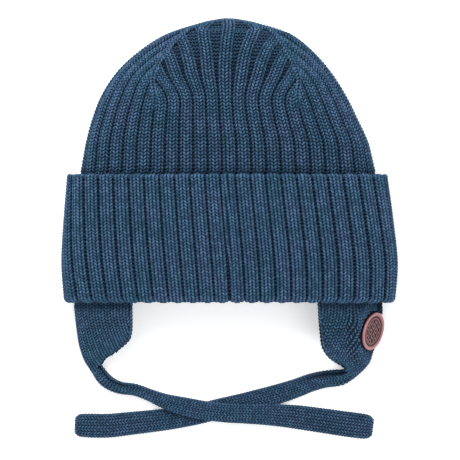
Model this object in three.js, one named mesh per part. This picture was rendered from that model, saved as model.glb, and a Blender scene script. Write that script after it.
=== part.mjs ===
// A child's ribbed knit beanie with a turned-up cuff, two ear flaps, two flat ties and a round leather patch.
// Millimetres. The hat lies on its back on z = 0, with its front up (+Z), its crown towards +Y and its mouth
// towards -Y. The origin is on the surface it rests on, in the middle of the cuff's back.
import * as THREE from "three";
import { mergeVertices } from "three/addons/utils/BufferGeometryUtils.js";

// Knit
const GORES = 4;
const RIBS_PER_GORE = 11;
const RIB_DEPTH = 1.9;
const CUFF_WALL = 3.8;
const CROWN_WALL = 3.6;
const FLAP_WALL = 2.8;
const FIT_GAP = 0.3;
const PRESSED_IN = 2.0; // how much of the back's wall is pressed flat where it rests

// Cuff
const CUFF_WIDTH = 215.6;
const CUFF_HEIGHT = 82.6;
const CUFF_DEPTH = 48;
const CUFF_TWIST_RIBS = 0.54; // the ribs lean by this much of a rib between the free edge and the fold

// Crown
const CROWN_WIDTH = 186.8;
const CROWN_HEIGHT = 99.8; // above the cuff's free edge
const CROWN_DEPTH = 44;

// Ear flaps
const FLAP_WIDTH = 40;
const FLAP_LENGTH = 45;
const FLAP_REACH_INSIDE = 14.5;
const FLAP_GAP = 0.5;
const FLAP_BULGE = 1.0; // how far it spreads below the fold that holds it

// Ties
const TIE_WIDTH = 16.6;
const TIE_THICKNESS = 3.7;
const LEFT_TIE_SPAN = 177.4;
const LEFT_TIE_DROP = 37.6;
const RIGHT_TIE_SPAN = 175.6;
const RIGHT_TIE_DROP = 32.7;

// Leather patch
const PATCH_DIAMETER = 24.7;
const PATCH_THICKNESS = 1.5;
const PATCH_RIM_WIDTH = 1.9;
const PATCH_RIM_HEIGHT = 0.5;
const PATCH_DROP = 18.0; // its centre below the mouth's fold line
const PATCH_INSET = 6.7; // its centre in from the flap's outermost line at the mouth
const PATCH_RISE = 11.8; // its back's centre above the resting surface
const PATCH_FACING = { aside: 59, down: 14.6 }; // degrees its face turns from straight up, and towards the mouth

// Fineness of the faceted surfaces
const RIB_PLACES = [-0.5, -0.2, 0.2]; // where a rib's groove and its two crests lie, in ribs from its middle
const ARC_SAMPLES = 720;
const FLAP_COLUMNS = 16;
const TIE_SIDES = 12;
const PATCH_SIDES = 32;
const WELD = 1e-3; // points closer than this are one

// Where the section's widest point lies between its back and its crest, and how square its two halves are
const GIRDLE_SHARE = 0.45;
const CREST_POWER = 3.1;
const BACK_POWER = 3.8;
const DOME_POWER = 2.5;

// Turns rows of numbers into records, one named value per column.
const table = (columns, rows) => rows.map((row) => Object.fromEntries(columns.map((name, i) => [name, row[i]])));

// Cuff, from the fold up: height as a share of the cuff's, half width and crest as shares of its width and depth
const CUFF_ROWS = table(
  ["height", "width", "crest", "shift"],
  [
    [0.0, 0.984, 0.84, 0.003],
    [0.3, 1.0, 0.9, 0.003],
    [0.6, 0.984, 0.96, 0],
    [1.0, 0.952, 1.0, -0.004],
  ],
);

// Crown above the cuff. height, width, crest, back and lean are shares of its height, width and depth. lean is how
// far the crest leads the back towards the top, ribs is how many are left in half a gore, gore is the front
// gore's share of the girth, shift moves the row sideways, and round says how far the section is the dome's.
const CROWN_ROWS = table(
  ["height", "width", "crest", "back", "lean", "ribs", "gore", "shift", "round"],
  [
    [0.02, 1.01, 0.99, 0.055, 0, 5.5, 0.25, -0.002, 0],
    [0.09, 0.996, 1.0, 0.03, 0, 5.5, 0.25, -0.003, 0],
    [0.21, 0.968, 1.01, -0.045, 0, 5.5, 0.25, -0.005, 0],
    [0.35, 0.914, 1.0, -0.045, 0, 5.5, 0.25, -0.012, 0.3],
    [0.49, 0.849, 0.966, -0.045, 0, 5.5, 0.256, -0.016, 0.6],
    [0.62, 0.765, 0.91, -0.045, 0.02, 4.5, 0.29, -0.016, 0.8],
    [0.715, 0.68, 0.83, -0.04, 0.07, 3.5, 0.29, -0.012, 1],
    [0.795, 0.586, 0.74, -0.02, 0.12, 2.5, 0.28, -0.006, 1],
    [0.86, 0.49, 0.63, 0.01, 0.15, 1.5, 0.265, 0, 1],
    [0.91, 0.385, 0.52, 0.04, 0.11, 1.2, 0.255, 0.002, 1],
    [0.945, 0.25, 0.42, 0.08, 0.09, 0.9, 0.25, 0, 1],
    [0.968, 0.13, 0.34, 0.13, 0.065, 0.5, 0.25, 0, 1],
  ],
);
const APEX = { height: 0.978, rise: 0.22 };

// Ear flaps from inside the mouth to the tip. A row is one section, from the fold at the flap's outer side to its
// free edge: outer and edge are how far in they lie from the mouth's side, in flap widths, and outerDown and
// edgeDown how far below the mouth, in flap lengths. base, rise and lean are shares of the cuff's depth, and
// reach is the section's half width in flap widths.
const LEFT_FLAP_ROWS = table(
  ["outer", "outerDown", "edge", "edgeDown", "base", "rise", "lean", "reach"],
  [
    [-0.01, 0.03, 0.915, 0.03, 0.1, 0.56, 0, 2.3],
    [0.0, 0.19, 0.915, 0.19, 0.05, 0.56, 0.03, 1.7],
    [0.02, 0.387, 0.91, 0.387, 0, 0.5, 0.12, 1.25],
    [0.055, 0.598, 0.87, 0.527, 0, 0.4, 0.16, 1.05],
    [0.13, 0.811, 0.695, 0.671, 0, 0.3, 0.1, 0.8],
    [0.195, 0.911, 0.495, 0.782, 0, 0.22, 0.05, 0.55],
    [0.275, 1.02, 0.42, 0.873, 0, 0.15, 0, 0.3],
  ],
);
const RIGHT_FLAP_ROWS = table(
  ["outer", "outerDown", "edge", "edgeDown", "base", "rise", "lean", "reach"],
  [
    [-0.02, 0.03, 1.055, 0.03, 0.1, 0.56, 0, 2.3],
    [-0.005, 0.24, 1.04, 0.24, 0.03, 0.55, 0.08, 1.5],
    [0.03, 0.416, 1.02, 0.438, 0, 0.5, 0.25, 1.25],
    [0.09, 0.593, 0.99, 0.627, 0, 0.42, 0.25, 1.12],
    [0.17, 0.771, 0.888, 0.771, 0, 0.33, 0.15, 0.9],
    [0.27, 0.913, 0.738, 0.864, 0, 0.24, 0.08, 0.6],
    [0.39, 1.024, 0.63, 0.918, 0, 0.17, 0.02, 0.4],
    [0.5, 1.104, 0.645, 0.94, 0, 0.15, 0, 0.3],
  ],
);

// Ties from the flap's tip to the free end: along and down are shares of the tie's span and drop, width and
// thickness of its full width and thickness, and over says how far it is lifted onto the other tie.
const LEFT_TIE_ROWS = table(
  ["along", "down", "width", "thickness", "over"],
  [
    [0, 0, 0.53, 1.9, 0],
    [0.023, 0.152, 0.56, 1.8, 0],
    [0.05, 0.253, 0.54, 1.7, 0],
    [0.086, 0.322, 0.5, 1.7, 0],
    [0.138, 0.354, 0.49, 1.7, 0],
    [0.191, 0.444, 0.5, 1.5, 0.35],
    [0.245, 0.545, 0.6, 1.25, 1],
    [0.317, 0.636, 0.72, 1.05, 1],
    [0.388, 0.705, 0.75, 1, 1],
    [0.46, 0.747, 0.75, 1, 1],
    [0.549, 0.766, 0.78, 1, 1],
    [0.621, 0.777, 0.85, 1, 1],
    [0.68, 0.8, 0.9, 1, 0.45],
    [0.728, 0.824, 0.95, 1, 0],
    [0.818, 0.883, 0.98, 1, 0],
    [0.907, 0.944, 1.0, 1, 0],
    [0.97, 0.982, 0.98, 0.98, 0],
    [0.99, 0.994, 0.86, 0.95, 0],
    [1, 1, 0.6, 0.85, 0],
  ],
);
const RIGHT_TIE_ROWS = table(
  ["along", "down", "width", "thickness", "over"],
  [
    [0, 0, 0.56, 1.9, 0],
    [0.029, 0.062, 0.66, 1.7, 0],
    [0.084, 0.095, 0.69, 1.5, 0],
    [0.138, 0.168, 0.72, 1.2, 0],
    [0.192, 0.278, 0.75, 1.05, 0],
    [0.247, 0.373, 0.78, 1, 0],
    [0.312, 0.471, 0.8, 1, 0],
    [0.391, 0.578, 0.8, 1, 0],
    [0.464, 0.667, 0.8, 1, 0],
    [0.554, 0.786, 0.82, 1, 0],
    [0.645, 0.872, 0.85, 1, 0],
    [0.717, 0.92, 0.88, 1, 0],
    [0.797, 0.966, 0.92, 1, 0],
    [0.88, 1.012, 0.95, 1, 0],
    [0.968, 1.006, 0.93, 0.98, 0],
    [0.99, 1.002, 0.82, 0.95, 0],
    [1, 1, 0.58, 0.85, 0],
  ],
);

// Worked out from the sizes above
const RIBS = GORES * RIBS_PER_GORE;
const HALF_GORE = RIBS_PER_GORE / 2;
const EVEN_GORE = 1 / GORES;
const FOLD_RADIUS = (CUFF_WALL + FIT_GAP + CROWN_WALL) / 2;
const EDGE_RADIUS = CUFF_WALL / 2;
const MOUTH_Y = -CUFF_HEIGHT / 2;
const CUFF_TOP_Y = CUFF_HEIGHT / 2;
const FOLD_Y = MOUTH_Y + FOLD_RADIUS;
const LINING_INSET = CUFF_WALL + FIT_GAP + CROWN_WALL;

// Materials
const knit = (colour) => new THREE.MeshStandardMaterial({ color: colour, roughness: 0.95, metalness: 0 });
const CROWN_KNIT = knit(0x2e445a);
const CUFF_KNIT = knit(0x2f465d);
const FLAP_KNIT = knit(0x2e465b);
const TIE_KNIT = knit(0x364e65);
const PATCH_LEATHER = new THREE.MeshStandardMaterial({ color: 0x8a5754, roughness: 0.55, metalness: 0 });

// Interpolates one named column of a table, smoothly, at a value of its key column.
function along(rows, key, column, at) {
  const last = rows.length - 1;
  const next = Math.min(Math.max(rows.findIndex((row) => row[key] >= at), 1), last);
  const i = at > rows[last][key] ? last : next;
  const [p, q] = [rows[i - 1], rows[i]];
  const t = THREE.MathUtils.clamp((at - p[key]) / (q[key] - p[key]), 0, 1);
  const before = rows[Math.max(i - 2, 0)];
  const after = rows[Math.min(i + 1, last)];
  const run = q[key] - p[key];
  const slopeIn = i > 1 ? (q[column] - before[column]) / (q[key] - before[key]) : (q[column] - p[column]) / run;
  const slopeOut = i < last ? (after[column] - p[column]) / (after[key] - p[key]) : (q[column] - p[column]) / run;
  const t2 = t * t;
  const t3 = t2 * t;
  const value = (2 * t3 - 3 * t2 + 1) * p[column] + (3 * t2 - 2 * t3) * q[column];
  return value + ((t3 - 2 * t2 + t) * slopeIn + (t3 - t2) * slopeOut) * run;
}

// A closed section across the hat: half width, crest and back heights, squareness, sideways shift and lean.
function section(y, halfWidth, crest, back, crestPower, shift = 0, lean = 0) {
  return { y, halfWidth, crest, back, crestPower, shift, lean };
}

// A size less a depth taken off it, never less than half of it.
const less = (size, depth) => Math.max(size - depth, size / 2);

// The point of a section at an angle from its crest, moved inwards by an inset and never below the floor level.
function sectionPoint(s, angle, inset, floor = 0) {
  const girdle = s.back + (s.crest - s.back) * GIRDLE_SHARE;
  const up = Math.cos(angle) >= 0;
  const power = up ? s.crestPower : BACK_POWER;
  const halfWidth = less(s.halfWidth, inset);
  const height = up ? less(s.crest - girdle, inset) : less(girdle - s.back, inset);
  const across = Math.sign(Math.sin(angle)) * Math.pow(Math.abs(Math.sin(angle)), 2 / power);
  const tall = Math.sign(Math.cos(angle)) * Math.pow(Math.abs(Math.cos(angle)), 2 / power);
  const z = girdle + height * tall;
  return new THREE.Vector3(s.shift + halfWidth * across, s.y + s.lean * tall, Math.max(z, floor));
}

// A function from a share of a section's girth, measured from the crest towards +X, to the angle there.
function girthToAngle(s) {
  const reached = [0];
  let before = sectionPoint(s, 0, 0, -Infinity);
  for (let i = 1; i <= ARC_SAMPLES; i++) {
    const here = sectionPoint(s, (2 * Math.PI * i) / ARC_SAMPLES, 0, -Infinity);
    reached.push(reached[i - 1] + here.distanceTo(before));
    before = here;
  }
  const girth = reached[ARC_SAMPLES];
  return (share) => {
    const wanted = (share - Math.floor(share)) * girth;
    let i = Math.max(reached.findIndex((r) => r >= wanted), 1);
    const t = (wanted - reached[i - 1]) / (reached[i] - reached[i - 1]);
    return (2 * Math.PI * (i - 1 + t)) / ARC_SAMPLES;
  };
}

// The columns round the hat: the gore each lies in, its place in ribs from the gore's middle, and its kind.
const COLUMNS = [];
for (let gore = 0; gore < GORES; gore++) {
  for (let rib = 0; rib < RIBS_PER_GORE; rib++) {
    for (const place of RIB_PLACES) {
      const s = rib + 0.5 - HALF_GORE + place;
      COLUMNS.push({ gore, s, groove: place === RIB_PLACES[0] });
    }
  }
}
const GROOVE_COLUMNS = COLUMNS.filter((column) => column.groove);

// The share of the girth at which a column lies when half a gore has so many ribs left.
function girthShare(column, ribsLeft, frontGore, twistRibs = 0) {
  const s = THREE.MathUtils.clamp(column.s, -ribsLeft, ribsLeft);
  const u = s / (2 * ribsLeft);
  const width = column.gore % 2 === 0 ? frontGore : 2 * EVEN_GORE - frontGore;
  return column.gore * EVEN_GORE + u * width + twistRibs / RIBS;
}

const closedByDecrease = (column, ribsLeft) => ribsLeft < HALF_GORE && Math.abs(column.s) >= ribsLeft;

// The cuff's section at a height, from the fold line up.
function cuffSection(y) {
  const at = (y - MOUTH_Y) / CUFF_HEIGHT;
  const pick = (column) => along(CUFF_ROWS, "height", column, at);
  const halfWidth = (pick("width") * CUFF_WIDTH) / 2;
  return section(y, halfWidth, pick("crest") * CUFF_DEPTH, -PRESSED_IN, CREST_POWER, pick("shift") * CUFF_WIDTH);
}

// The rows that the cuff's inner face and the tube inside it share, from the fold to the free edge, and the rows
// of the cuff's outer face from the free edge down
const TUBE_ROWS = [0, 1 / 2, 1];
const OUTER_ROWS = [3 / 4, 1 / 2, 1 / 4];
const tubeY = (share) => THREE.MathUtils.lerp(FOLD_Y, CUFF_TOP_Y - EDGE_RADIUS, share);

const cuffTwist = (y) => (CUFF_TWIST_RIBS * (CUFF_TOP_Y - y)) / CUFF_HEIGHT;

// The section of the tube inside the cuff, which the cuff wraps with a small gap.
function hiddenSection(y) {
  const outer = cuffSection(y);
  const inset = CUFF_WALL + FIT_GAP;
  return { ...outer, halfWidth: outer.halfWidth - inset, crest: outer.crest - inset, back: outer.back + inset };
}

// The crown's section at a row of its table.
function crownSection(row) {
  const y = CUFF_TOP_Y + row.height * CROWN_HEIGHT;
  const power = THREE.MathUtils.lerp(CREST_POWER, DOME_POWER, row.round);
  const halfWidth = (row.width * CROWN_WIDTH) / 2;
  const [crest, back] = [row.crest * CROWN_DEPTH, row.back * CROWN_DEPTH];
  return section(y, halfWidth, crest, back, power, row.shift * CROWN_WIDTH, row.lean * CROWN_DEPTH);
}

// Collects triangles and turns them into one closed geometry whose shared vertices are merged.
class Skin {
  constructor() {
    this.corners = [];
  }

  triangle(a, b, c) {
    this.corners.push(a, b, c);
  }

  // Joins two closed rings; the second may have fewer points, a whole fraction of the first's. Seen along the way
  // from the first to the second, rings run clockwise on a face that looks outwards.
  band(ring, next, inwards = false) {
    const n = ring.length;
    const ratio = n / next.length;
    for (let i = 0; i < n; i++) {
      const [a, b] = [ring[i], ring[(i + 1) % n]];
      const [c, d] = [next[Math.floor(i / ratio)], next[Math.floor((i + 1) / ratio) % next.length]];
      this.facet(a, b, c, inwards);
      if (c !== d) this.facet(b, d, c, inwards);
    }
  }

  facet(a, b, c, turned) {
    if (turned) this.triangle(c, b, a);
    else this.triangle(a, b, c);
  }

  // Closes a ring to one point.
  tip(ring, point, inwards = false) {
    ring.forEach((a, i) => this.facet(a, ring[(i + 1) % ring.length], point, inwards));
  }

  // Closes the end of a ring that runs out along a sheet's outer face and back along its inner one.
  sheetEnd(ring, backwards) {
    const last = ring.length - 1;
    for (let i = 0; i + 1 < ring.length / 2; i++) {
      this.facet(ring[i], ring[i + 1], ring[last - i - 1], backwards);
      this.facet(ring[i], ring[last - i - 1], ring[last - i], backwards);
    }
  }

  geometry() {
    const open = new THREE.BufferGeometry().setFromPoints(this.corners);
    const merged = mergeVertices(open, WELD);
    const old = merged.index.array;
    const kept = [];
    for (let i = 0; i < old.length; i += 3) {
      const [a, b, c] = [old[i], old[i + 1], old[i + 2]];
      if (a !== b && b !== c && c !== a) kept.push(a, b, c);
    }
    merged.setIndex(kept);
    merged.computeVertexNormals();
    return merged;
  }
}

function namedMesh(name, geometry, material) {
  const mesh = new THREE.Mesh(geometry, material);
  mesh.name = name;
  return mesh;
}

// One ring of a hat wall, whose grooves lie deeper than its crests.
function wallRing(s, columns, { ribsLeft, gore, twist = 0, inset = 0, groove = RIB_DEPTH, floor = 0, yMove = 0 }) {
  const toAngle = girthToAngle(s);
  return columns.map((column) => {
    const sunk = column.groove && !closedByDecrease(column, ribsLeft) ? groove : 0;
    const point = sectionPoint(s, toAngle(girthShare(column, ribsLeft, gore, twist)), inset + sunk, floor);
    point.y += yMove;
    return point;
  });
}

// A ring on the rounded edge of a wall, at an angle round the edge's circle from the outer face.
function edgeRing(centreY, radius, angle, upwards) {
  const s = cuffSection(centreY);
  const toAngle = girthToAngle(s);
  return COLUMNS.map((column) => {
    const cut = column.groove ? (RIB_DEPTH * (1 + Math.cos(angle))) / 2 : 0;
    const r = radius - cut;
    const inset = radius - r * Math.cos(angle);
    const share = girthShare(column, HALF_GORE, EVEN_GORE, cuffTwist(centreY));
    const point = sectionPoint(s, toAngle(share), inset, pressedFloor(inset));
    point.y += upwards * r * Math.sin(angle);
    return point;
  });
}

// Where the back rests, each layer is pressed thin: the lowest level of a surface at an inset.
function pressedFloor(inset) {
  return inset < CUFF_WALL ? 0 : inset - PRESSED_IN;
}

function makeCuff() {
  const skin = new Skin();
  const rings = [];
  const [edgeSteps, foldSteps] = [3, 4];
  // Round the free edge, from the inside to the outside
  for (let step = edgeSteps; step >= 0; step--) {
    rings.push(edgeRing(CUFF_TOP_Y - EDGE_RADIUS, EDGE_RADIUS, (Math.PI * step) / edgeSteps, 1));
  }
  // Down the outer face
  for (const share of OUTER_ROWS) {
    const y = tubeY(share);
    rings.push(wallRing(cuffSection(y), COLUMNS, { ribsLeft: HALF_GORE, gore: EVEN_GORE, twist: cuffTwist(y) }));
  }
  // Round the fold to the inside of the mouth
  for (let step = 0; step <= foldSteps; step++) {
    rings.push(edgeRing(FOLD_Y, FOLD_RADIUS, (Math.PI * step) / foldSteps, -1));
  }
  // Back under the tube's end, and up the inner face
  for (const share of TUBE_ROWS.slice(0, -1)) {
    const y = tubeY(share);
    const place = { ribsLeft: HALF_GORE, gore: EVEN_GORE, twist: cuffTwist(y), inset: CUFF_WALL, groove: 0 };
    rings.push(wallRing(cuffSection(y), COLUMNS, place));
  }
  rings.forEach((ring, i) => skin.band(rings[(i + 1) % rings.length], ring));
  return namedMesh("cuff", skin.geometry(), CUFF_KNIT);
}

function makeCrown() {
  const skin = new Skin();
  const outer = [];
  const inner = [];
  // The tube inside the cuff
  for (const share of TUBE_ROWS) {
    const y = tubeY(share);
    const place = { ribsLeft: HALF_GORE, gore: EVEN_GORE, twist: cuffTwist(y), yMove: share === 0 ? FIT_GAP : 0 };
    outer.push(wallRing(hiddenSection(y), COLUMNS, place));
    inner.push(wallRing(hiddenSection(y), COLUMNS, { ...place, inset: CROWN_WALL, groove: 0 }));
  }
  // The dome, whose inner face stands back from the outer one in height as well
  const shrink = (CROWN_HEIGHT - CROWN_WALL) / CROWN_HEIGHT;
  for (const row of CROWN_ROWS) {
    const s = crownSection(row);
    const place = { ribsLeft: row.ribs, gore: row.gore };
    outer.push(wallRing(s, COLUMNS, place));
    const lower = crownSection({ ...row, height: row.height * shrink });
    const pressed = CROWN_WALL - PRESSED_IN;
    inner.push(wallRing(lower, GROOVE_COLUMNS, { ...place, inset: CROWN_WALL, groove: 0, floor: pressed }));
  }
  const apexY = CUFF_TOP_Y + APEX.height * CROWN_HEIGHT;
  const apex = new THREE.Vector3(0, apexY, APEX.rise * CROWN_DEPTH);
  const innerApex = new THREE.Vector3(0, apexY - CROWN_WALL, APEX.rise * CROWN_DEPTH);
  for (let i = 0; i + 1 < outer.length; i++) {
    skin.band(outer[i], outer[i + 1]);
    skin.band(inner[i], inner[i + 1], true);
  }
  const last = outer.length - 1;
  skin.tip(outer[last], apex);
  skin.tip(inner[last], innerApex, true);
  skin.band(outer[0], inner[0], true);
  return namedMesh("crown", skin.geometry(), CROWN_KNIT);
}

// Ear flaps: where the flap's outermost line lies at the mouth, on either side
const MOUTH_SECTION = cuffSection(FOLD_Y);
const FLAP_INSET = LINING_INSET + FLAP_GAP;
const FLAP_SIDE = MOUTH_SECTION.halfWidth - FLAP_INSET;

// A flap's section: it starts at the fold's outermost point, runs along a direction to the free edge, and rises
// from a base. Its two layers are the two halves of a flattened oval, leant inwards by as much as it rises.
function flapSection({ start, direction, width, base, rise, lean, reach, power }) {
  const edgeAngle = (length, half) => Math.asin(Math.pow(Math.max(1 - length / reach, 0), half / 2));
  const from = edgeAngle(width - lean, power);
  const to = Math.PI - edgeAngle(width, BACK_POWER);
  const girdle = rise * GIRDLE_SHARE;
  const pointAt = (angle, inset) => {
    const up = Math.cos(angle) >= 0;
    const half = up ? power : BACK_POWER;
    const tall = Math.sign(Math.cos(angle)) * Math.pow(Math.abs(Math.cos(angle)), 2 / half);
    const height = up ? less(rise - girdle, inset) : less(girdle, inset);
    const z = girdle + height * tall;
    const leant = (lean * Math.max(z - girdle, 0)) / (rise - girdle);
    const inwards = reach - less(reach, inset) * Math.pow(Math.sin(angle), 2 / half) + leant;
    return new THREE.Vector3(start.x, start.y, base + z).addScaledVector(direction, inwards);
  };
  return { pointAt, angles: evenAngles((angle) => pointAt(angle, 0), from, to, FLAP_COLUMNS) };
}

// Angles between two that lie at even distances along a curve.
function evenAngles(curve, from, to, count) {
  const reached = [0];
  let before = curve(from);
  for (let i = 1; i <= ARC_SAMPLES; i++) {
    const here = curve(THREE.MathUtils.lerp(from, to, i / ARC_SAMPLES));
    reached.push(reached[i - 1] + here.distanceTo(before));
    before = here;
  }
  return Array.from({ length: count }, (_, k) => {
    const wanted = (reached[ARC_SAMPLES] * k) / (count - 1);
    const i = THREE.MathUtils.clamp(reached.findIndex((r) => r >= wanted), 1, ARC_SAMPLES);
    const t = (wanted - reached[i - 1]) / (reached[i] - reached[i - 1]);
    return THREE.MathUtils.lerp(from, to, (i - 1 + t) / ARC_SAMPLES);
  });
}

// The part of a flap that lies against the inside of the mouth, at a level above or below the fold line.
function mouthRow(side, width, y) {
  const s = MOUTH_SECTION;
  const halfWidth = s.halfWidth - FLAP_INSET;
  return flapSection({
    start: new THREE.Vector3(s.shift + side * halfWidth, y, 0),
    direction: new THREE.Vector3(-side, 0, 0),
    width,
    base: s.back + FLAP_INSET,
    rise: s.crest - s.back - 2 * FLAP_INSET,
    lean: 0,
    reach: halfWidth,
    power: CREST_POWER,
  });
}

// The two ends of a flap's section, from its row.
function flapEnds(side, row) {
  const spot = (inwards, down) => {
    const x = MOUTH_SECTION.shift + side * (FLAP_SIDE + FLAP_BULGE - inwards * FLAP_WIDTH);
    return new THREE.Vector3(x, MOUTH_Y - down * FLAP_LENGTH, 0);
  };
  return { outer: spot(row.outer, row.outerDown), edge: spot(row.edge, row.edgeDown) };
}

function hangingRow(side, row) {
  const { outer, edge } = flapEnds(side, row);
  const across = edge.clone().sub(outer);
  return flapSection({
    start: outer,
    direction: across.clone().normalize(),
    width: across.length(),
    base: row.base * CUFF_DEPTH,
    rise: row.rise * CUFF_DEPTH,
    lean: row.lean * CUFF_DEPTH,
    reach: Math.max(row.reach * FLAP_WIDTH, across.length()),
    power: DOME_POWER,
  });
}

// A flap's rings, each out along the outer face and back along the inner one.
function flapRings(side, rows) {
  const width = rows[0].edge * FLAP_WIDTH;
  const mouthLevels = [MOUTH_Y + FLAP_REACH_INSIDE, FOLD_Y];
  const sections = [
    ...mouthLevels.map((y) => mouthRow(side, width, y)),
    ...rows.map((row) => hangingRow(side, row)),
  ];
  return sections.map(({ pointAt, angles }) => {
    const outer = angles.map((angle) => pointAt(angle, 0));
    const inner = angles.map((angle) => pointAt(angle, FLAP_WALL));
    return side > 0 ? [...outer, ...inner.reverse()] : [...outer.reverse(), ...inner];
  });
}

function makeFlap(name, side, rows, seat = (ring) => ring) {
  const skin = new Skin();
  const rings = flapRings(side, rows).map(seat);
  for (let i = 0; i + 1 < rings.length; i++) {
    skin.band(rings[i + 1], rings[i]);
  }
  skin.sheetEnd(rings[0], false);
  skin.sheetEnd(rings[rings.length - 1], true);
  return namedMesh(name, skin.geometry(), FLAP_KNIT);
}

// Ties: a flattened oval laid along the tie's way, whose first section faces the flap's tip.
function tieRings(side, flapRows, rows, span, drop) {
  const { outer, edge } = flapEnds(side, flapRows[flapRows.length - 1]);
  const across = edge.clone().sub(outer).normalize();
  const tipHeading = new THREE.Vector3(side * across.y, -side * across.x, 0).multiplyScalar(-1);
  const start = outer.clone().add(edge).multiplyScalar(0.5).addScaledVector(tipHeading, FIT_GAP);
  const way = rows.map((row) => new THREE.Vector3(-side * row.along * span, -row.down * drop, 0).add(start));
  return rows.map((row, i) => {
    const ahead = way[Math.min(i + 1, rows.length - 1)].clone().sub(way[Math.max(i - 1, 0)]).normalize();
    const heading = i === 0 ? tipHeading : ahead;
    const right = new THREE.Vector3(heading.y, -heading.x, 0);
    const halfWidth = (row.width * TIE_WIDTH) / 2;
    const thickness = row.thickness * TIE_THICKNESS;
    const base = row.over * (TIE_THICKNESS + FIT_GAP);
    return Array.from({ length: TIE_SIDES }, (_, k) => {
      const angle = (2 * Math.PI * (k + 0.5)) / TIE_SIDES;
      const rounded = (v) => Math.sign(v) * Math.pow(Math.abs(v), 2 / CREST_POWER);
      const point = way[i].clone().addScaledVector(right, halfWidth * rounded(Math.sin(angle)));
      point.z = base + (thickness * (1 + rounded(Math.cos(angle)) / rounded(Math.cos(Math.PI / TIE_SIDES)))) / 2;
      return point;
    });
  });
}

function makeTie(name, side, flapRows, rows, span, drop) {
  const skin = new Skin();
  const rings = tieRings(side, flapRows, rows, span, drop);
  const middle = (ring) => ring.reduce((sum, p) => sum.add(p), new THREE.Vector3()).divideScalar(ring.length);
  for (let i = 0; i + 1 < rings.length; i++) {
    skin.band(rings[i], rings[i + 1]);
  }
  const last = rings[rings.length - 1];
  skin.tip(rings[0], middle(rings[0]), true);
  skin.tip(last, middle(last));
  return namedMesh(name, skin.geometry(), TIE_KNIT);
}

// Leather patch: its place on the right flap, and the way it faces
const radians = THREE.MathUtils.degToRad;
const PATCH_NORMAL = new THREE.Vector3(
  Math.sin(radians(PATCH_FACING.aside)) * Math.cos(radians(PATCH_FACING.down)),
  -Math.sin(radians(PATCH_FACING.aside)) * Math.sin(radians(PATCH_FACING.down)),
  Math.cos(radians(PATCH_FACING.aside)),
);
const PATCH_CENTRE = new THREE.Vector3(
  MOUTH_SECTION.shift + FLAP_SIDE - PATCH_INSET,
  MOUTH_Y - PATCH_DROP,
  PATCH_RISE,
);

// Lays a flap's ring flat against the patch's back: no point stays in front of it, and those behind it come up.
function seatOnPatch(ring) {
  const count = ring.length / 2;
  const near = PATCH_DIAMETER / 2 + FLAP_WALL;
  const far = PATCH_DIAMETER;
  const moves = ring.slice(0, count).map((point) => {
    const apart = point.clone().sub(PATCH_CENTRE);
    const ahead = apart.dot(PATCH_NORMAL) + FIT_GAP;
    const aside = apart.addScaledVector(PATCH_NORMAL, FIT_GAP - ahead).length();
    const behind = 1 - THREE.MathUtils.smoothstep(-ahead, FLAP_WALL, 3 * FLAP_WALL);
    const hold = behind * (1 - THREE.MathUtils.smoothstep(aside, near, far));
    return PATCH_NORMAL.clone().multiplyScalar(-ahead * (ahead > 0 && aside < far ? 1 : hold));
  });
  return ring.map((point, i) => point.clone().add(moves[i < count ? i : ring.length - 1 - i]));
}

function makePatch() {
  const radius = PATCH_DIAMETER / 2;
  const half = PATCH_RIM_HEIGHT / 2;
  const face = PATCH_THICKNESS;
  const profile = [
    [0, 0],
    [radius - half, 0],
    [radius, half],
    [radius, face - half],
    [radius - half, face],
    [radius - PATCH_RIM_WIDTH, face],
    [radius - PATCH_RIM_WIDTH - half, face - PATCH_RIM_HEIGHT],
    [0, face - PATCH_RIM_HEIGHT],
  ].map(([r, z]) => new THREE.Vector2(r, z));
  const lathe = new THREE.LatheGeometry(profile, PATCH_SIDES).rotateX(Math.PI / 2);
  lathe.deleteAttribute("normal");
  lathe.deleteAttribute("uv");
  const mesh = namedMesh("leather_patch", mergeVertices(lathe, WELD), PATCH_LEATHER);
  mesh.geometry.computeVertexNormals();
  mesh.quaternion.setFromUnitVectors(new THREE.Vector3(0, 0, 1), PATCH_NORMAL);
  mesh.position.copy(PATCH_CENTRE);
  return mesh;
}

const group = new THREE.Group();
group.add(
  makeCrown(),
  makeCuff(),
  makeFlap("ear_flap_left", -1, LEFT_FLAP_ROWS),
  makeFlap("ear_flap_right", 1, RIGHT_FLAP_ROWS, seatOnPatch),
  makeTie("tie_left", -1, LEFT_FLAP_ROWS, LEFT_TIE_ROWS, LEFT_TIE_SPAN, LEFT_TIE_DROP),
  makeTie("tie_right", 1, RIGHT_FLAP_ROWS, RIGHT_TIE_ROWS, RIGHT_TIE_SPAN, RIGHT_TIE_DROP),
  makePatch(),
);
export default group;
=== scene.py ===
"""Dresses a child's ribbed knit beanie with a turned-up cuff, ear flaps, ties and a leather patch."""
import logging
import math
from dataclasses import dataclass, field, replace
from enum import Enum

import bmesh
import bpy
import numpy as np
from mathutils import Matrix, Vector


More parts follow.
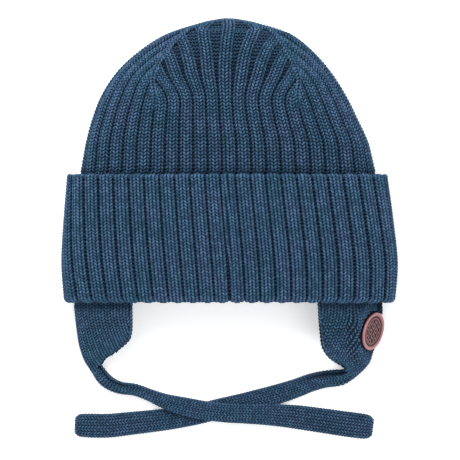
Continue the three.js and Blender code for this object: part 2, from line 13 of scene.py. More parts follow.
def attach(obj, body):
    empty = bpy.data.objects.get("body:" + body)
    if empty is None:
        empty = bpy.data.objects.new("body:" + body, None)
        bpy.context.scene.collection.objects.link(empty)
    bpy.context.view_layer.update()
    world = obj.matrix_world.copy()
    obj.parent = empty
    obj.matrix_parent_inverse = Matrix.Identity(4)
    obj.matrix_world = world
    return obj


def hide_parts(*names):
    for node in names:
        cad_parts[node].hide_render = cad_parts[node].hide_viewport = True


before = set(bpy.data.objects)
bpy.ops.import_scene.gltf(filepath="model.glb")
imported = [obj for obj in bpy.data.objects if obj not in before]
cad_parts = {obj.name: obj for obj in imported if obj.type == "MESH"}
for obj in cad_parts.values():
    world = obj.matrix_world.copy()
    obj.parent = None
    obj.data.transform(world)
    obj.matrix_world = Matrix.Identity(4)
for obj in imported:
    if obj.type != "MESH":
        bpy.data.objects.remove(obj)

LOG = logging.getLogger("beanie")
MM = 0.001
ROOT = "root"
ARC_SAMPLES = 1440
MOST_FOLDED = 0.45
LEG_BOW = 0.55
FRONT_SHARE = 0.245
FLAP_LEG = (1.45, 3.3, 1.4)
EDGE_LEG = (2.0, 3.0, 1.8)
TIE_LEG = (1.25, 3.4, 1.25)


class WaleWay(Enum):
    """Which way the legs of a stitch open, along the way its wale runs."""

    OPENING = 1.0
    CLOSING = -1.0


class Side(Enum):
    """The viewer's side of the hat that a piece is on."""

    LEFT = -1.0
    RIGHT = 1.0


@dataclass(frozen=True)
class Gauge:
    """The knit's sizes, in millimetres."""

    gores: int = 4
    ribs_per_gore: int = 11
    leg_spacing: float = 2.0
    cuff_row: float = 2.0
    crown_row: float = 2.2
    leg_length: float = 3.25
    leg_width: float = 1.58
    leg_thickness: float = 1.6
    leg_share: float = 0.114
    leg_reach: float = 0.2
    widest_leg_step: float = 1.12
    leg_lean: float = math.radians(36)
    leg_lift: float = math.radians(9)
    leg_depth: float = 0.72
    shoulder_drop: float = 0.62
    shoulder_roll: float = math.radians(34)
    shell_depth: float = 1.35
    groove_depth: float = 3.15
    groove_leg: tuple = (1.15, 2.9, 1.2)
    groove_leg_rise: float = 0.75
    groove_leg_step: float = 1.15
    # How dark the painted shade on the stitches sunk in the grooves is.
    groove_painted_shade: float = -2.1
    ridge_half: float = 4.0
    ridge_share: float = 0.41
    cuff_wall: float = 3.8
    crown_wall: float = 3.6
    flap_wall: float = 2.8
    fit_gap: float = 0.3
    pressed_in: float = 2.0

    @property
    def ribs(self) -> int:
        """How many ribs go round the hat."""
        return self.gores * self.ribs_per_gore

    @property
    def half_gore(self) -> float:
        """Half of a gore, in ribs."""
        return self.ribs_per_gore / 2


GAUGE = Gauge()
GIRDLE_SHARE = 0.45
CREST_POWER = 3.1
BACK_POWER = 3.8
DOME_POWER = 2.5


@dataclass(frozen=True)
class Table:
    """Rows of numbers under named columns, read between its rows by a key column."""

    columns: tuple
    rows: tuple

    def column(self, name: str) -> np.ndarray:
        """All values of one column."""
        return np.array([row[self.columns.index(name)] for row in self.rows], float)

    def steady(self, key: str, name: str, at: np.ndarray) -> np.ndarray:
        """One column read in straight lines between the rows."""
        return np.interp(at, self.column(key), self.column(name))

    def along(self, key: str, name: str, at: np.ndarray) -> np.ndarray:
        """One column read smoothly between the rows.

        Args:
            key: The column that says where each row lies.
            name: The column to read.
            at: Where to read it.

        Returns:
            The values there.
        """
        keys, values = self.column(key), self.column(name)
        slopes = np.empty_like(values)
        slopes[1:-1] = (values[2:] - values[:-2]) / (keys[2:] - keys[:-2])
        slopes[0] = (values[1] - values[0]) / (keys[1] - keys[0])
        slopes[-1] = (values[-1] - values[-2]) / (keys[-1] - keys[-2])
        at = np.asarray(at, float)
        i = np.clip(np.searchsorted(keys, at, side="left") - 1, 0, len(keys) - 2)
        run = keys[i + 1] - keys[i]
        t = np.clip((at - keys[i]) / run, 0, 1)
        t2, t3 = t * t, t * t * t
        value = (2 * t3 - 3 * t2 + 1) * values[i] + (3 * t2 - 2 * t3) * values[i + 1]
        return value + ((t3 - 2 * t2 + t) * slopes[i] + (t3 - t2) * slopes[i + 1]) * run


def less(size: np.ndarray, depth: np.ndarray) -> np.ndarray:
    """A size less a depth taken off it, never less than half of it."""
    return np.maximum(size - depth, size / 2)


def signed_power(value: np.ndarray, power: np.ndarray) -> np.ndarray:
    """A power of a number's size, with the number's sign."""
    return np.sign(value) * np.power(np.abs(value), power)


def unit(vectors: np.ndarray) -> np.ndarray:
    """Vectors made one long."""
    return vectors / np.maximum(np.linalg.norm(vectors, axis=-1, keepdims=True), 1e-12)


def arc_lengths(points: np.ndarray) -> np.ndarray:
    """How far along a run of points each of them lies, from the first."""
    steps = np.linalg.norm(np.diff(points, axis=0), axis=1)
    return np.concatenate([[0.0], np.cumsum(steps)])


@dataclass(frozen=True)
class Section:
    """A closed section across the hat, in millimetres."""

    y: float
    half_width: float
    crest: float
    back: float
    crest_power: float
    shift: float = 0.0
    lean: float = 0.0

    def point(self, angle: np.ndarray, inset: np.ndarray = 0.0, floor: float = 0.0) -> np.ndarray:
        """Points of the section.

        Args:
            angle: Angles from the crest towards the hat's right.
            inset: How far in from the outline they lie.
            floor: The lowest level that they may reach.

        Returns:
            One row of x, y and z for each angle.
        """
        angle = np.asarray(angle, float)
        girdle = self.back + (self.crest - self.back) * GIRDLE_SHARE
        up = np.cos(angle) >= 0
        power = np.where(up, self.crest_power, BACK_POWER)
        height = np.where(up, less(self.crest - girdle, inset), less(girdle - self.back, inset))
        across = signed_power(np.sin(angle), 2 / power)
        tall = signed_power(np.cos(angle), 2 / power)
        x = self.shift + less(self.half_width, inset) * across
        z = np.maximum(girdle + height * tall, floor)
        return np.stack([x, self.y + self.lean * tall, z], axis=-1)

    def ring(self, count: int, inset: float = 0.0, floor: float = 0.0) -> tuple[np.ndarray, float]:
        """Points at equal shares of the girth from the crest on, and the girth."""
        angles = np.linspace(0, 2 * math.pi, ARC_SAMPLES + 1)
        reached = arc_lengths(self.point(angles, 0.0, -1e9))
        wanted = np.interp(np.arange(count) / count * reached[-1], reached, angles)
        return self.point(wanted, inset, floor), float(reached[-1])


class Surface:
    """A knitted face as a grid of points: rows lie along its wales and columns across them."""

    def __init__(
        self, points: np.ndarray, wraps: bool, outwards: float = 1.0, moved: np.ndarray | None = None
    ) -> None:
        """Keeps the grid and works out its normals.

        Args:
            points: Rows by columns by x, y and z, in millimetres.
            wraps: Whether the last column is followed by the first.
            outwards: 1 or -1, the sign that makes the normals look out.
            moved: The same points after something has pressed them in, if anything has.
        """
        self.points = points if moved is None else moved
        self.wraps = wraps
        self.row_count, self.column_count = points.shape[:2]
        self.down, self.across, self.normal = self._slopes(self.points, outwards)
        if moved is not None:
            _, _, free = self._slopes(points, outwards)
            folded = np.sum(free * self.normal, axis=-1) < MOST_FOLDED
            self.normal[folded] = free[folded]

    def _slopes(self, points: np.ndarray, outwards: float) -> tuple[np.ndarray, np.ndarray, np.ndarray]:
        """The steps along the rows and the columns of a grid, and its normals."""
        down = np.gradient(points, axis=0)
        if self.wraps:
            wide = np.concatenate([points[:, -1:], points, points[:, :1]], axis=1)
            across = np.gradient(wide, axis=1)[:, 1:-1]
        else:
            across = np.gradient(points, axis=1)
        return down, across, unit(np.cross(across, down)) * outwards

    def _blend(self, grid: np.ndarray, rows: np.ndarray, columns: np.ndarray) -> np.ndarray:
        """A grid's values between its rows and columns."""
        rows = np.clip(np.asarray(rows, float), 0, self.row_count - 1)
        columns = np.asarray(columns, float)
        r0 = np.minimum(rows.astype(int), self.row_count - 2)
        if self.wraps:
            columns = np.mod(columns, self.column_count)
            c0 = np.floor(columns).astype(int) % self.column_count
            c1 = (c0 + 1) % self.column_count
        else:
            columns = np.clip(columns, 0, self.column_count - 1)
            c0 = np.minimum(columns.astype(int), self.column_count - 2)
            c1 = c0 + 1
        tr = (rows - r0)[..., None]
        tc = (columns - np.floor(columns) if self.wraps else columns - c0)[..., None]
        upper = grid[r0, c0] * (1 - tc) + grid[r0, c1] * tc
        lower = grid[r0 + 1, c0] * (1 - tc) + grid[r0 + 1, c1] * tc
        return upper * (1 - tr) + lower * tr

    def at(self, rows: np.ndarray, columns: np.ndarray, depth: np.ndarray = 0.0) -> np.ndarray:
        """Points under the surface at a depth."""
        rows, columns = np.broadcast_arrays(rows, columns)
        depth = np.broadcast_to(np.asarray(depth, float), rows.shape)[..., None]
        return self._blend(self.points, rows, columns) - unit(self._blend(self.normal, rows, columns)) * depth

    def frame(self, rows: np.ndarray, columns: np.ndarray) -> tuple[np.ndarray, np.ndarray, np.ndarray]:
        """The normal, the way along the wale and the way across it."""
        normal = unit(self._blend(self.normal, rows, columns))
        along = self._blend(self.down, rows, columns)
        along = unit(along - normal * np.sum(along * normal, axis=-1, keepdims=True))
        across = self._blend(self.across, rows, columns)
        side = np.cross(along, normal)
        return normal, along, side * np.sign(np.sum(side * across, axis=-1, keepdims=True))


@dataclass
class Legs:
    """The legs of knitted stitches: where each lies, how it is turned and how large it is."""

    points: list = field(default_factory=list)
    turns: list = field(default_factory=list)
    sizes: list = field(default_factory=list)
    tones: list = field(default_factory=list)

    def add(
        self,
        surface: Surface,
        rows: np.ndarray,
        columns: np.ndarray,
        depth: np.ndarray,
        opens: np.ndarray,
        roll: np.ndarray = 0.0,
        size: tuple = (GAUGE.leg_width, GAUGE.leg_length, GAUGE.leg_thickness),
        lean: float = GAUGE.leg_lean,
        tone: np.ndarray = 0.0,
        lift: float = GAUGE.leg_lift,
        rest: float = 0.0,
    ) -> None:
        """Lays legs on a surface.

        Args:
            surface: The face that they lie on.
            rows: The grid row of each leg.
            columns: The grid column of each leg.
            depth: How deep the middle of each leg lies.
            opens: Which way across the wale its far end goes, 1 or -1.
            roll: How far each leg turns over the shoulder of its rib.
            size: Width, length and thickness of a leg.
            lean: The angle between a leg and its wale.
            tone: How much lighter or darker than the yarn it is, as painted shade and painted highlight.
            lift: The angle by which its far end stands up.
            rest: The level of the surface that the legs mustn't sink through.
        """
        rows = np.asarray(rows, float)
        if rows.size == 0:
            return
        columns, depth, opens, roll = (
            np.broadcast_to(np.asarray(v, float), rows.shape) for v in (columns, depth, opens, roll)
        )
        normal, along, across = surface.frame(rows, columns)
        if rows.size > 2:
            path = np.gradient(surface.at(rows, columns), axis=0)
            path = unit(path - normal * np.sum(path * normal, axis=-1, keepdims=True))
            side = np.cross(path, normal)
            along = path
            across = side * np.sign(np.sum(side * across, axis=-1, keepdims=True))
        turned = normal * np.cos(roll)[:, None] + across * np.sin(roll)[:, None]
        flat = across * np.cos(roll)[:, None] - normal * np.sin(roll)[:, None]
        way = along * math.cos(lean) + flat * (opens * math.sin(lean))[:, None]
        y_axis = way * math.cos(lift) + turned * math.sin(lift)
        z_axis = turned * math.cos(lift) - way * math.sin(lift)
        x_axis = np.cross(y_axis, z_axis)
        centre = surface.at(rows, columns, depth)
        half = np.broadcast_to(np.array(size, float) / 2, (rows.size, 3))
        upward = np.stack([x_axis[:, 2], y_axis[:, 2], z_axis[:, 2]], axis=-1)
        bow = LEG_BOW * half[:, 2] * np.maximum(z_axis[:, 2], 0)
        reach_down = np.linalg.norm(half * upward, axis=-1) + bow
        centre[:, 2] = np.maximum(centre[:, 2], rest + reach_down)
        self.points.append(centre)
        self.turns.append(euler_angles(x_axis, y_axis, z_axis))
        self.sizes.append(half)
        self.tones.append(np.broadcast_to(np.asarray(tone, float), rows.shape))

    def joined(self) -> tuple[np.ndarray, np.ndarray, np.ndarray, np.ndarray]:
        """All legs' points, turns, sizes and tones as four arrays."""
        return tuple(np.concatenate(part) for part in (self.points, self.turns, self.sizes, self.tones))


def euler_angles(x_axis: np.ndarray, y_axis: np.ndarray, z_axis: np.ndarray) -> np.ndarray:
    """The XYZ angles of frames given by their three axes."""
    turn_x = np.arctan2(y_axis[:, 2], z_axis[:, 2])
    turn_y = -np.arcsin(np.clip(x_axis[:, 2], -1, 1))
    turn_z = np.arctan2(x_axis[:, 1], x_axis[:, 0])
    return np.stack([turn_x, turn_y, turn_z], axis=-1)


def grid_faces(rows: int, columns: int, wrap_rows: bool, wrap_columns: bool) -> np.ndarray:
    """The four-cornered faces of a grid of points, facing out where columns x rows looks out."""
    r = np.arange(rows if wrap_rows else rows - 1)
    c = np.arange(columns if wrap_columns else columns - 1)
    r, c = np.meshgrid(r, c, indexing="ij")
    r1, c1 = (r + 1) % rows, (c + 1) % columns
    corners = [r * columns + c, r * columns + c1, r1 * columns + c1, r1 * columns + c]
    return np.stack(corners, axis=-1).reshape(-1, 4)


def new_piece(name: str, points: np.ndarray, faces: list, tone: np.ndarray | float = 0.0) -> bpy.types.Object:
    """Makes a smooth mesh piece from points in millimetres.

    Args:
        name: The piece's name.
        points: Its points.
        faces: Its faces, as rows of point numbers.
        tone: How much lighter or darker than the yarn each point is, as painted shade.

    Returns:
        The object, at the origin.
    """
    mesh = bpy.data.meshes.new(name)
    mesh.from_pydata((points * MM).tolist(), [], faces)
    shade = mesh.attributes.new("tone", "FLOAT", "POINT")
    shade.data.foreach_set("value", np.broadcast_to(tone, len(points)).astype(np.float32).copy())
    mesh.validate()
    mesh.polygons.foreach_set("use_smooth", [True] * len(mesh.polygons))
    mesh.update()
    piece = bpy.data.objects.new(name, mesh)
    bpy.context.scene.collection.objects.link(piece)
    return piece


def weld(piece: bpy.types.Object, distance: float = 0.01) -> None:
    """Merges a piece's points that lie closer than a distance in millimetres."""
    work = bmesh.new()
    work.from_mesh(piece.data)
    bmesh.ops.remove_doubles(work, verts=work.verts, dist=distance * MM)
    bmesh.ops.dissolve_degenerate(work, dist=distance * MM / 10, edges=work.edges)
    work.to_mesh(piece.data)
    work.free()
    piece.data.polygons.foreach_set("use_smooth", [True] * len(piece.data.polygons))
    piece.data.update()


class StitchTree:
    """The Geometry Nodes tree that lays one leg of yarn on every point."""

    def __init__(self) -> None:
        """Builds the tree with its named inputs."""
        self.tree = bpy.data.node_groups.new("knit_legs", "GeometryNodeTree")
        self.sockets: dict = {}
        face = self.tree.interface
        face.new_socket("Geometry", in_out="INPUT", socket_type="NodeSocketGeometry")
        for name, kind in (
            ("Strand Sides", "NodeSocketInt"),
            ("Strand Rings", "NodeSocketInt"),
            ("Bow", "NodeSocketFloat"),
            ("Tone Spread", "NodeSocketFloat"),
            ("Seed", "NodeSocketInt"),
            ("Yarn", "NodeSocketMaterial"),
        ):
            self.sockets[name] = face.new_socket(name, in_out="INPUT", socket_type=kind).identifier
        face.new_socket("Geometry", in_out="OUTPUT", socket_type="NodeSocketGeometry")
        self._wire()

    def _node(self, kind: str, settings: dict | None = None, inputs: dict | None = None) -> bpy.types.Node:
        """Adds a node, sets what it is set to and links or fills its sockets."""
        node = self.tree.nodes.new(kind)
        for name, value in (settings or {}).items():
            setattr(node, name, value)
        for name, value in (inputs or {}).items():
            socket = node.inputs[name]
            if isinstance(value, bpy.types.NodeSocket):
                self.tree.links.new(value, socket)
            else:
                socket.default_value = value
        return node

    def _read(self, name: str, kind: str) -> bpy.types.NodeSocket:
        """The values of a named attribute of the points."""
        node = self._node("GeometryNodeInputNamedAttribute", {"data_type": kind}, {"Name": name})
        return node.outputs["Attribute"]

    def _wire(self) -> None:
        """Adds and links the nodes."""
        given = self._node("NodeGroupInput").outputs
        ball = self._node(
            "GeometryNodeMeshUVSphere",
            inputs={"Segments": given["Strand Sides"], "Rings": given["Strand Rings"], "Radius": 1.0},
        )
        laid = self._node(
            "GeometryNodeTransform",
            inputs={"Geometry": ball.outputs["Mesh"], "Rotation": (math.pi / 2, 0.0, 0.0)},
        )
        place = self._node("GeometryNodeInputPosition").outputs["Position"]
        parts = self._node("ShaderNodeSeparateXYZ", inputs={0: place}).outputs
        square = self._node("ShaderNodeMath", {"operation": "MULTIPLY"}, {0: parts["Y"], 1: parts["Y"]})
        bow = self._node("ShaderNodeMath", {"operation": "MULTIPLY"}, {0: square.outputs[0], 1: given["Bow"]})
        drop = self._node("ShaderNodeMath", {"operation": "MULTIPLY"}, {0: bow.outputs[0], 1: -1.0})
        offset = self._node("ShaderNodeCombineXYZ", inputs={"Z": drop.outputs[0]})
        bent = self._node(
            "GeometryNodeSetPosition",
            inputs={"Geometry": laid.outputs["Geometry"], "Offset": offset.outputs[0]},
        )
        strand = self._node(
            "GeometryNodeStoreNamedAttribute",
            {"data_type": "FLOAT_VECTOR", "domain": "POINT"},
            {"Geometry": bent.outputs["Geometry"], "Name": "strand", "Value": place},
        )
        chance = self._node(
            "FunctionNodeRandomValue",
            {"data_type": "FLOAT"},
            {"Min": -1.0, "Max": 1.0, "Seed": given["Seed"]},
        )
        spread = self._node(
            "ShaderNodeMath", {"operation": "MULTIPLY"}, {0: chance.outputs["Value"], 1: given["Tone Spread"]}
        )
        terms = {0: spread.outputs[0], 1: self._read("tone", "FLOAT")}
        tone = self._node("ShaderNodeMath", {"operation": "ADD"}, terms)
        toned = self._node(
            "GeometryNodeStoreNamedAttribute",
            {"data_type": "FLOAT", "domain": "POINT"},
            {"Geometry": given["Geometry"], "Name": "tone", "Value": tone.outputs[0]},
        )
        placed = self._node(
            "GeometryNodeInstanceOnPoints",
            inputs={
                "Points": toned.outputs["Geometry"],
                "Instance": strand.outputs["Geometry"],
                "Rotation": self._read("turn", "FLOAT_VECTOR"),
                "Scale": self._read("size", "FLOAT_VECTOR"),
            },
        )
        real = self._node("GeometryNodeRealizeInstances", inputs={"Geometry": placed.outputs["Instances"]})
        smooth = self._node("GeometryNodeSetShadeSmooth", inputs={"Geometry": real.outputs["Geometry"]})
        dressed = self._node(
            "GeometryNodeSetMaterial",
            inputs={"Geometry": smooth.outputs["Geometry"], "Material": given["Yarn"]},
        )
        self._node("NodeGroupOutput", inputs={"Geometry": dressed.outputs["Geometry"]})

    def knit(
        self, name: str, legs: tuple, yarn: bpy.types.Material, seed: int, sides: int = 5
    ) -> bpy.types.Object:
        """Makes one piece of all legs.

        Args:
            name: The piece's name.
            legs: The legs' points, turns, sizes and tones.
            yarn: The material of the yarn.
            seed: The seed of the differences in tone.
            sides: How many sides a strand has.

        Returns:
            The piece as a plain mesh.
        """
        points, turns, sizes, tones = legs
        carrier = bpy.data.meshes.new(name + "_points")
        carrier.vertices.add(len(points))
        carrier.vertices.foreach_set("co", (points * MM).ravel())
        for label, kind, key, values in (
            ("turn", "FLOAT_VECTOR", "vector", turns),
            ("size", "FLOAT_VECTOR", "vector", sizes * MM),
            ("tone", "FLOAT", "value", tones),
        ):
            layer = carrier.attributes.new(label, kind, "POINT")
            layer.data.foreach_set(key, values.astype(np.float32).ravel())
        stand_in = bpy.data.objects.new(name + "_points", carrier)
        bpy.context.scene.collection.objects.link(stand_in)
        modifier = stand_in.modifiers.new("legs", "NODES")
        modifier.node_group = self.tree
        for label, value in (
            ("Strand Sides", sides),
            ("Strand Rings", 4),
            ("Bow", LEG_BOW),
            ("Tone Spread", 0.5),
            ("Seed", seed),
            ("Yarn", yarn),
        ):
            modifier[self.sockets[label]] = value
        graph = bpy.context.evaluated_depsgraph_get()
        mesh = bpy.data.meshes.new_from_object(
            stand_in.evaluated_get(graph), preserve_all_data_layers=True, depsgraph=graph
        )
        mesh.name = name
        piece = bpy.data.objects.new(name, mesh)
        bpy.context.scene.collection.objects.link(piece)
        bpy.data.objects.remove(stand_in)
        bpy.data.meshes.remove(carrier)
        return piece


class Wire:
    """A value in a material, a socket or a number, that can be used in arithmetic."""

    def __init__(self, graph: "Graph", socket: bpy.types.NodeSocket) -> None:
        """Wraps a socket of a graph."""
        self.graph = graph
        self.socket = socket

    def _sum(self, operation: str, first: object, second: object) -> "Wire":
        """Adds a Math node on two values."""
        return self.graph.node("ShaderNodeMath", {"operation": operation}, {0: first, 1: second})

    def __add__(self, other: object) -> "Wire":
        """self + other."""
        return self._sum("ADD", self, other)

    def __radd__(self, other: object) -> "Wire":
        """other + self."""
        return self._sum("ADD", other, self)

    def __sub__(self, other: object) -> "Wire":
        """self - other."""
        return self._sum("SUBTRACT", self, other)

    def __rsub__(self, other: object) -> "Wire":
        """other - self."""
        return self._sum("SUBTRACT", other, self)

    def __mul__(self, other: object) -> "Wire":
        """self * other."""
        return self._sum("MULTIPLY", self, other)

    def __rmul__(self, other: object) -> "Wire":
        """other * self."""
        return self._sum("MULTIPLY", other, self)

    def held(self, low: float, high: float) -> "Wire":
        """The value kept between two limits."""
        return self._sum("MINIMUM", self._sum("MAXIMUM", self, low), high)

    def sine(self) -> "Wire":
        """The sine of the value."""
        return self.graph.node("ShaderNodeMath", {"operation": "SINE"}, {0: self})


class Graph:
    """A material's nodes."""

    def __init__(self, name: str) -> None:
        """Starts a material with an output and a surface shader."""
        self.material = bpy.data.materials.new(name)
        self.material.use_nodes = True
        self.tree = self.material.node_tree
        self.tree.nodes.clear()
        self.output = self.tree.nodes.new("ShaderNodeOutputMaterial")
        self.shader = self.tree.nodes.new("ShaderNodeBsdfPrincipled")
        self.tree.links.new(self.shader.outputs[0], self.output.inputs["Surface"])

    def node(
        self, kind: str, settings: dict | None = None, inputs: dict | None = None, output: object = 0
    ) -> Wire:
        """Adds a node.

        Args:
            kind: The node's type.
            settings: What it is set to, with a ramp's stops under "stops".
            inputs: The values or wires of its sockets.
            output: The name or number of the socket to give back.

        Returns:
            That socket as a wire.
        """
        node = self.tree.nodes.new(kind)
        for name, value in (settings or {}).items():
            if name == "stops":
                for i, (place, colour) in enumerate(value):
                    stop = node.color_ramp.elements[i] if i < 2 else node.color_ramp.elements.new(place)
                    stop.position, stop.color = place, colour
            else:
                setattr(node, name, value)
        for name, value in (inputs or {}).items():
            self.put(node.inputs[name], value)
        return Wire(self, node.outputs[output])

    def put(self, socket: bpy.types.NodeSocket, value: object) -> None:
        """Links a wire to a socket or writes a number or colour into it."""
        if isinstance(value, Wire):
            self.tree.links.new(value.socket, socket)
        else:
            socket.default_value = value

    def attribute(self, name: str, output: str = "Fac") -> Wire:
        """The values of the mesh's own attribute."""
        return self.node("ShaderNodeAttribute", {"attribute_name": name}, output=output)

    def place(self) -> Wire:
        """The place on the object."""
        return self.node("ShaderNodeTexCoord", output="Object")

    def noise(self, place: Wire, scale: float, detail: float = 3.0, roughness: float = 0.6) -> Wire:
        """A noise over a place."""
        given = {"Vector": place, "Scale": scale, "Detail": detail, "Roughness": roughness}
        return self.node("ShaderNodeTexNoise", {"noise_dimensions": "3D"}, given, "Fac")

    def mixed(self, share: Wire, first: object, second: object) -> Wire:
        """A colour between two colours."""
        node = self.tree.nodes.new("ShaderNodeMix")
        node.data_type = "RGBA"
        self.put(node.inputs["Factor"], share)
        self.put(node.inputs[6], first)
        self.put(node.inputs[7], second)
        return Wire(self, node.outputs[2])

    def bump(self, height: Wire, distance: float, strength: float) -> Wire:
        """A bump of a height."""
        given = {"Height": height, "Distance": distance, "Strength": strength}
        return self.node("ShaderNodeBump", {}, given, "Normal")


@dataclass(frozen=True)
class YarnFinish:
    """Soft matt yarn, with a painted highlight on the crowns of its stitches and painted shade deep between
    them.
    """

    name: str
    # deep is the colour of the painted shade deep between the stitches.
    deep: tuple = (0.0015, 0.0065, 0.016, 1.0)
    teal: tuple = (0.024, 0.081, 0.138, 1.0)
    indigo: tuple = (0.037, 0.071, 0.145, 1.0)
    # pale is the colour of the painted highlight on the crowns of the stitches.
    pale: tuple = (0.1, 0.2, 0.32, 1.0)
    # A lightness above 1 paints the whole yarn lighter, as painted light.
    lightness: float = 1.0
    sheen: float = 0.06
    fibre_scale: float = 2600.0
    patch_scale: float = 45.0

    def lit(self, colour: tuple) -> tuple:
        """A colour at this yarn's lightness."""
        return tuple(part * self.lightness for part in colour[:3]) + (1.0,)

    def make(self) -> bpy.types.Material:
        """Builds the material."""
        graph = Graph(self.name)
        place = graph.place()
        tone = graph.attribute("tone")
        parts = [
            graph.node("ShaderNodeSeparateXYZ", {}, {0: graph.attribute("strand", "Vector")}, axis)
            for axis in "XYZ"
        ]
        across, along, up = parts
        fibre = graph.noise(place, self.fibre_scale, 4.0, 0.7)
        mottling = graph.noise(place, self.patch_scale, 3.0)
        ply = (along * 7.0 + across * 2.6).sine()
        # Painted highlight on the top of each leg and painted shade on its sides and ends, from the leg's own
        # shape.
        crown = (up * 0.42 - across * across * 0.3 - along * along * 0.22).held(-1.0, 1.0)
        # The share adds the painted shade and highlight of the tone and of the legs' tops to the yarn's
        # random fibre, patch and ply differences.
        share = tone * 0.3 + crown * 0.8 + (fibre - 0.5) * 0.5 + (mottling - 0.5) * 0.25 + ply * 0.05
        teal, indigo, pale = (self.lit(colour) for colour in (self.teal, self.indigo, self.pale))
        yarn = graph.mixed(((mottling - 0.5) * 3.0 + 0.5).held(0.0, 1.0), teal, indigo)
        # The lowest shares go to the painted-shade colour and the highest to the painted-highlight colour.
        low = graph.mixed((share + 0.75).held(0.0, 1.0), self.deep, yarn)
        colour = graph.mixed((share * 1.6 - 0.1).held(0.0, 1.0), low, pale)
        graph.put(graph.shader.inputs["Base Color"], colour)
        graph.put(graph.shader.inputs["Roughness"], (0.85 + (fibre - 0.5) * 0.2).held(0.6, 1.0))
        graph.put(graph.shader.inputs["Normal"], graph.bump(fibre + ply * 0.35, 0.00025, 0.8))
        graph.shader.inputs["Specular IOR Level"].default_value = 0.15
        graph.shader.inputs["Sheen Weight"].default_value = self.sheen
        graph.shader.inputs["Sheen Roughness"].default_value = 0.45
        graph.shader.inputs["Sheen Tint"].default_value = (0.4, 0.68, 1.0, 1.0)
        return graph.material


@dataclass(frozen=True)
class LeatherFinish:
    """Pink-brown leather, mottled, with a painted highlight on its rim, and dark in its engraving."""

    name: str = "patch_leather"
    base: tuple = (0.25, 0.085, 0.088, 1.0)
    # pale is the colour of the painted highlight on the rim.
    pale: tuple = (0.45, 0.185, 0.205, 1.0)
    burnt: tuple = (0.008, 0.004, 0.005, 1.0)

    def make(self) -> bpy.types.Material:
        """Builds the material."""
        graph = Graph(self.name)
        place = graph.place()
        cut = graph.attribute("engraved")
        rim = graph.attribute("rim")
        grain = graph.node(
            "ShaderNodeTexVoronoi",
            {"feature": "DISTANCE_TO_EDGE"},
            {"Vector": place, "Scale": 1500.0},
            "Distance",
        )
        mottle = graph.noise(place, 260.0, 4.0)
        # Mottled leather with a painted highlight on the rim.
        mottling = graph.mixed((rim * 0.7 + (mottle - 0.5) * 0.9).held(0.0, 1.0), self.base, self.pale)
        colour = graph.mixed((cut * 1.45).held(0.0, 1.0), mottling, self.burnt)
        graph.put(graph.shader.inputs["Base Color"], colour)
        graph.put(graph.shader.inputs["Roughness"], (0.5 + cut * 0.3 + (mottle - 0.5) * 0.2).held(0.3, 0.95))
        height = graph.node("ShaderNodeMath", {"operation": "MINIMUM"}, {0: grain, 1: 0.2}) + mottle * 0.2
        graph.put(graph.shader.inputs["Normal"], graph.bump(height, 0.0004, 0.5))
        return graph.material


@dataclass(frozen=True)
class FloorFinish:
    """A plain pale studio floor."""

    name: str = "studio_floor"
    base: tuple = (0.93, 0.935, 0.94, 1.0)
    glow: float = 0.35

    def make(self) -> bpy.types.Material:
        """Builds the material."""
        graph = Graph(self.name)
        graph.shader.inputs["Base Color"].default_value = self.base
        graph.shader.inputs["Roughness"].default_value = 0.9
        graph.shader.inputs["Specular IOR Level"].default_value = 0.1
        graph.shader.inputs["Emission Color"].default_value = (1.0, 1.0, 1.0, 1.0)
        graph.shader.inputs["Emission Strength"].default_value = self.glow
        return graph.material


def finish_piece(piece: bpy.types.Object, node: str, material: bpy.types.Material) -> None:
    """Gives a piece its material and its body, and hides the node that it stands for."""
    if not piece.data.materials:
        piece.data.materials.append(material)
    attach(piece, ROOT)
    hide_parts(node)
    faces = sum(len(polygon.vertices) - 2 for polygon in piece.data.polygons)
    LOG.info("%s: %d triangles", piece.name, faces)


def faces_front(share: float) -> bool:
    """Whether a share of the girth, from the crest on, lies on the front."""
    return abs((share + 0.5) % 1 - 0.5) < FRONT_SHARE


def first_rib(count: int, twist: float) -> int:
    """How many places a ring from the crest on is rolled to start where the first gore's ribs do."""
    return count // (2 * GAUGE.gores) - int(round(twist / GAUGE.ribs * count))


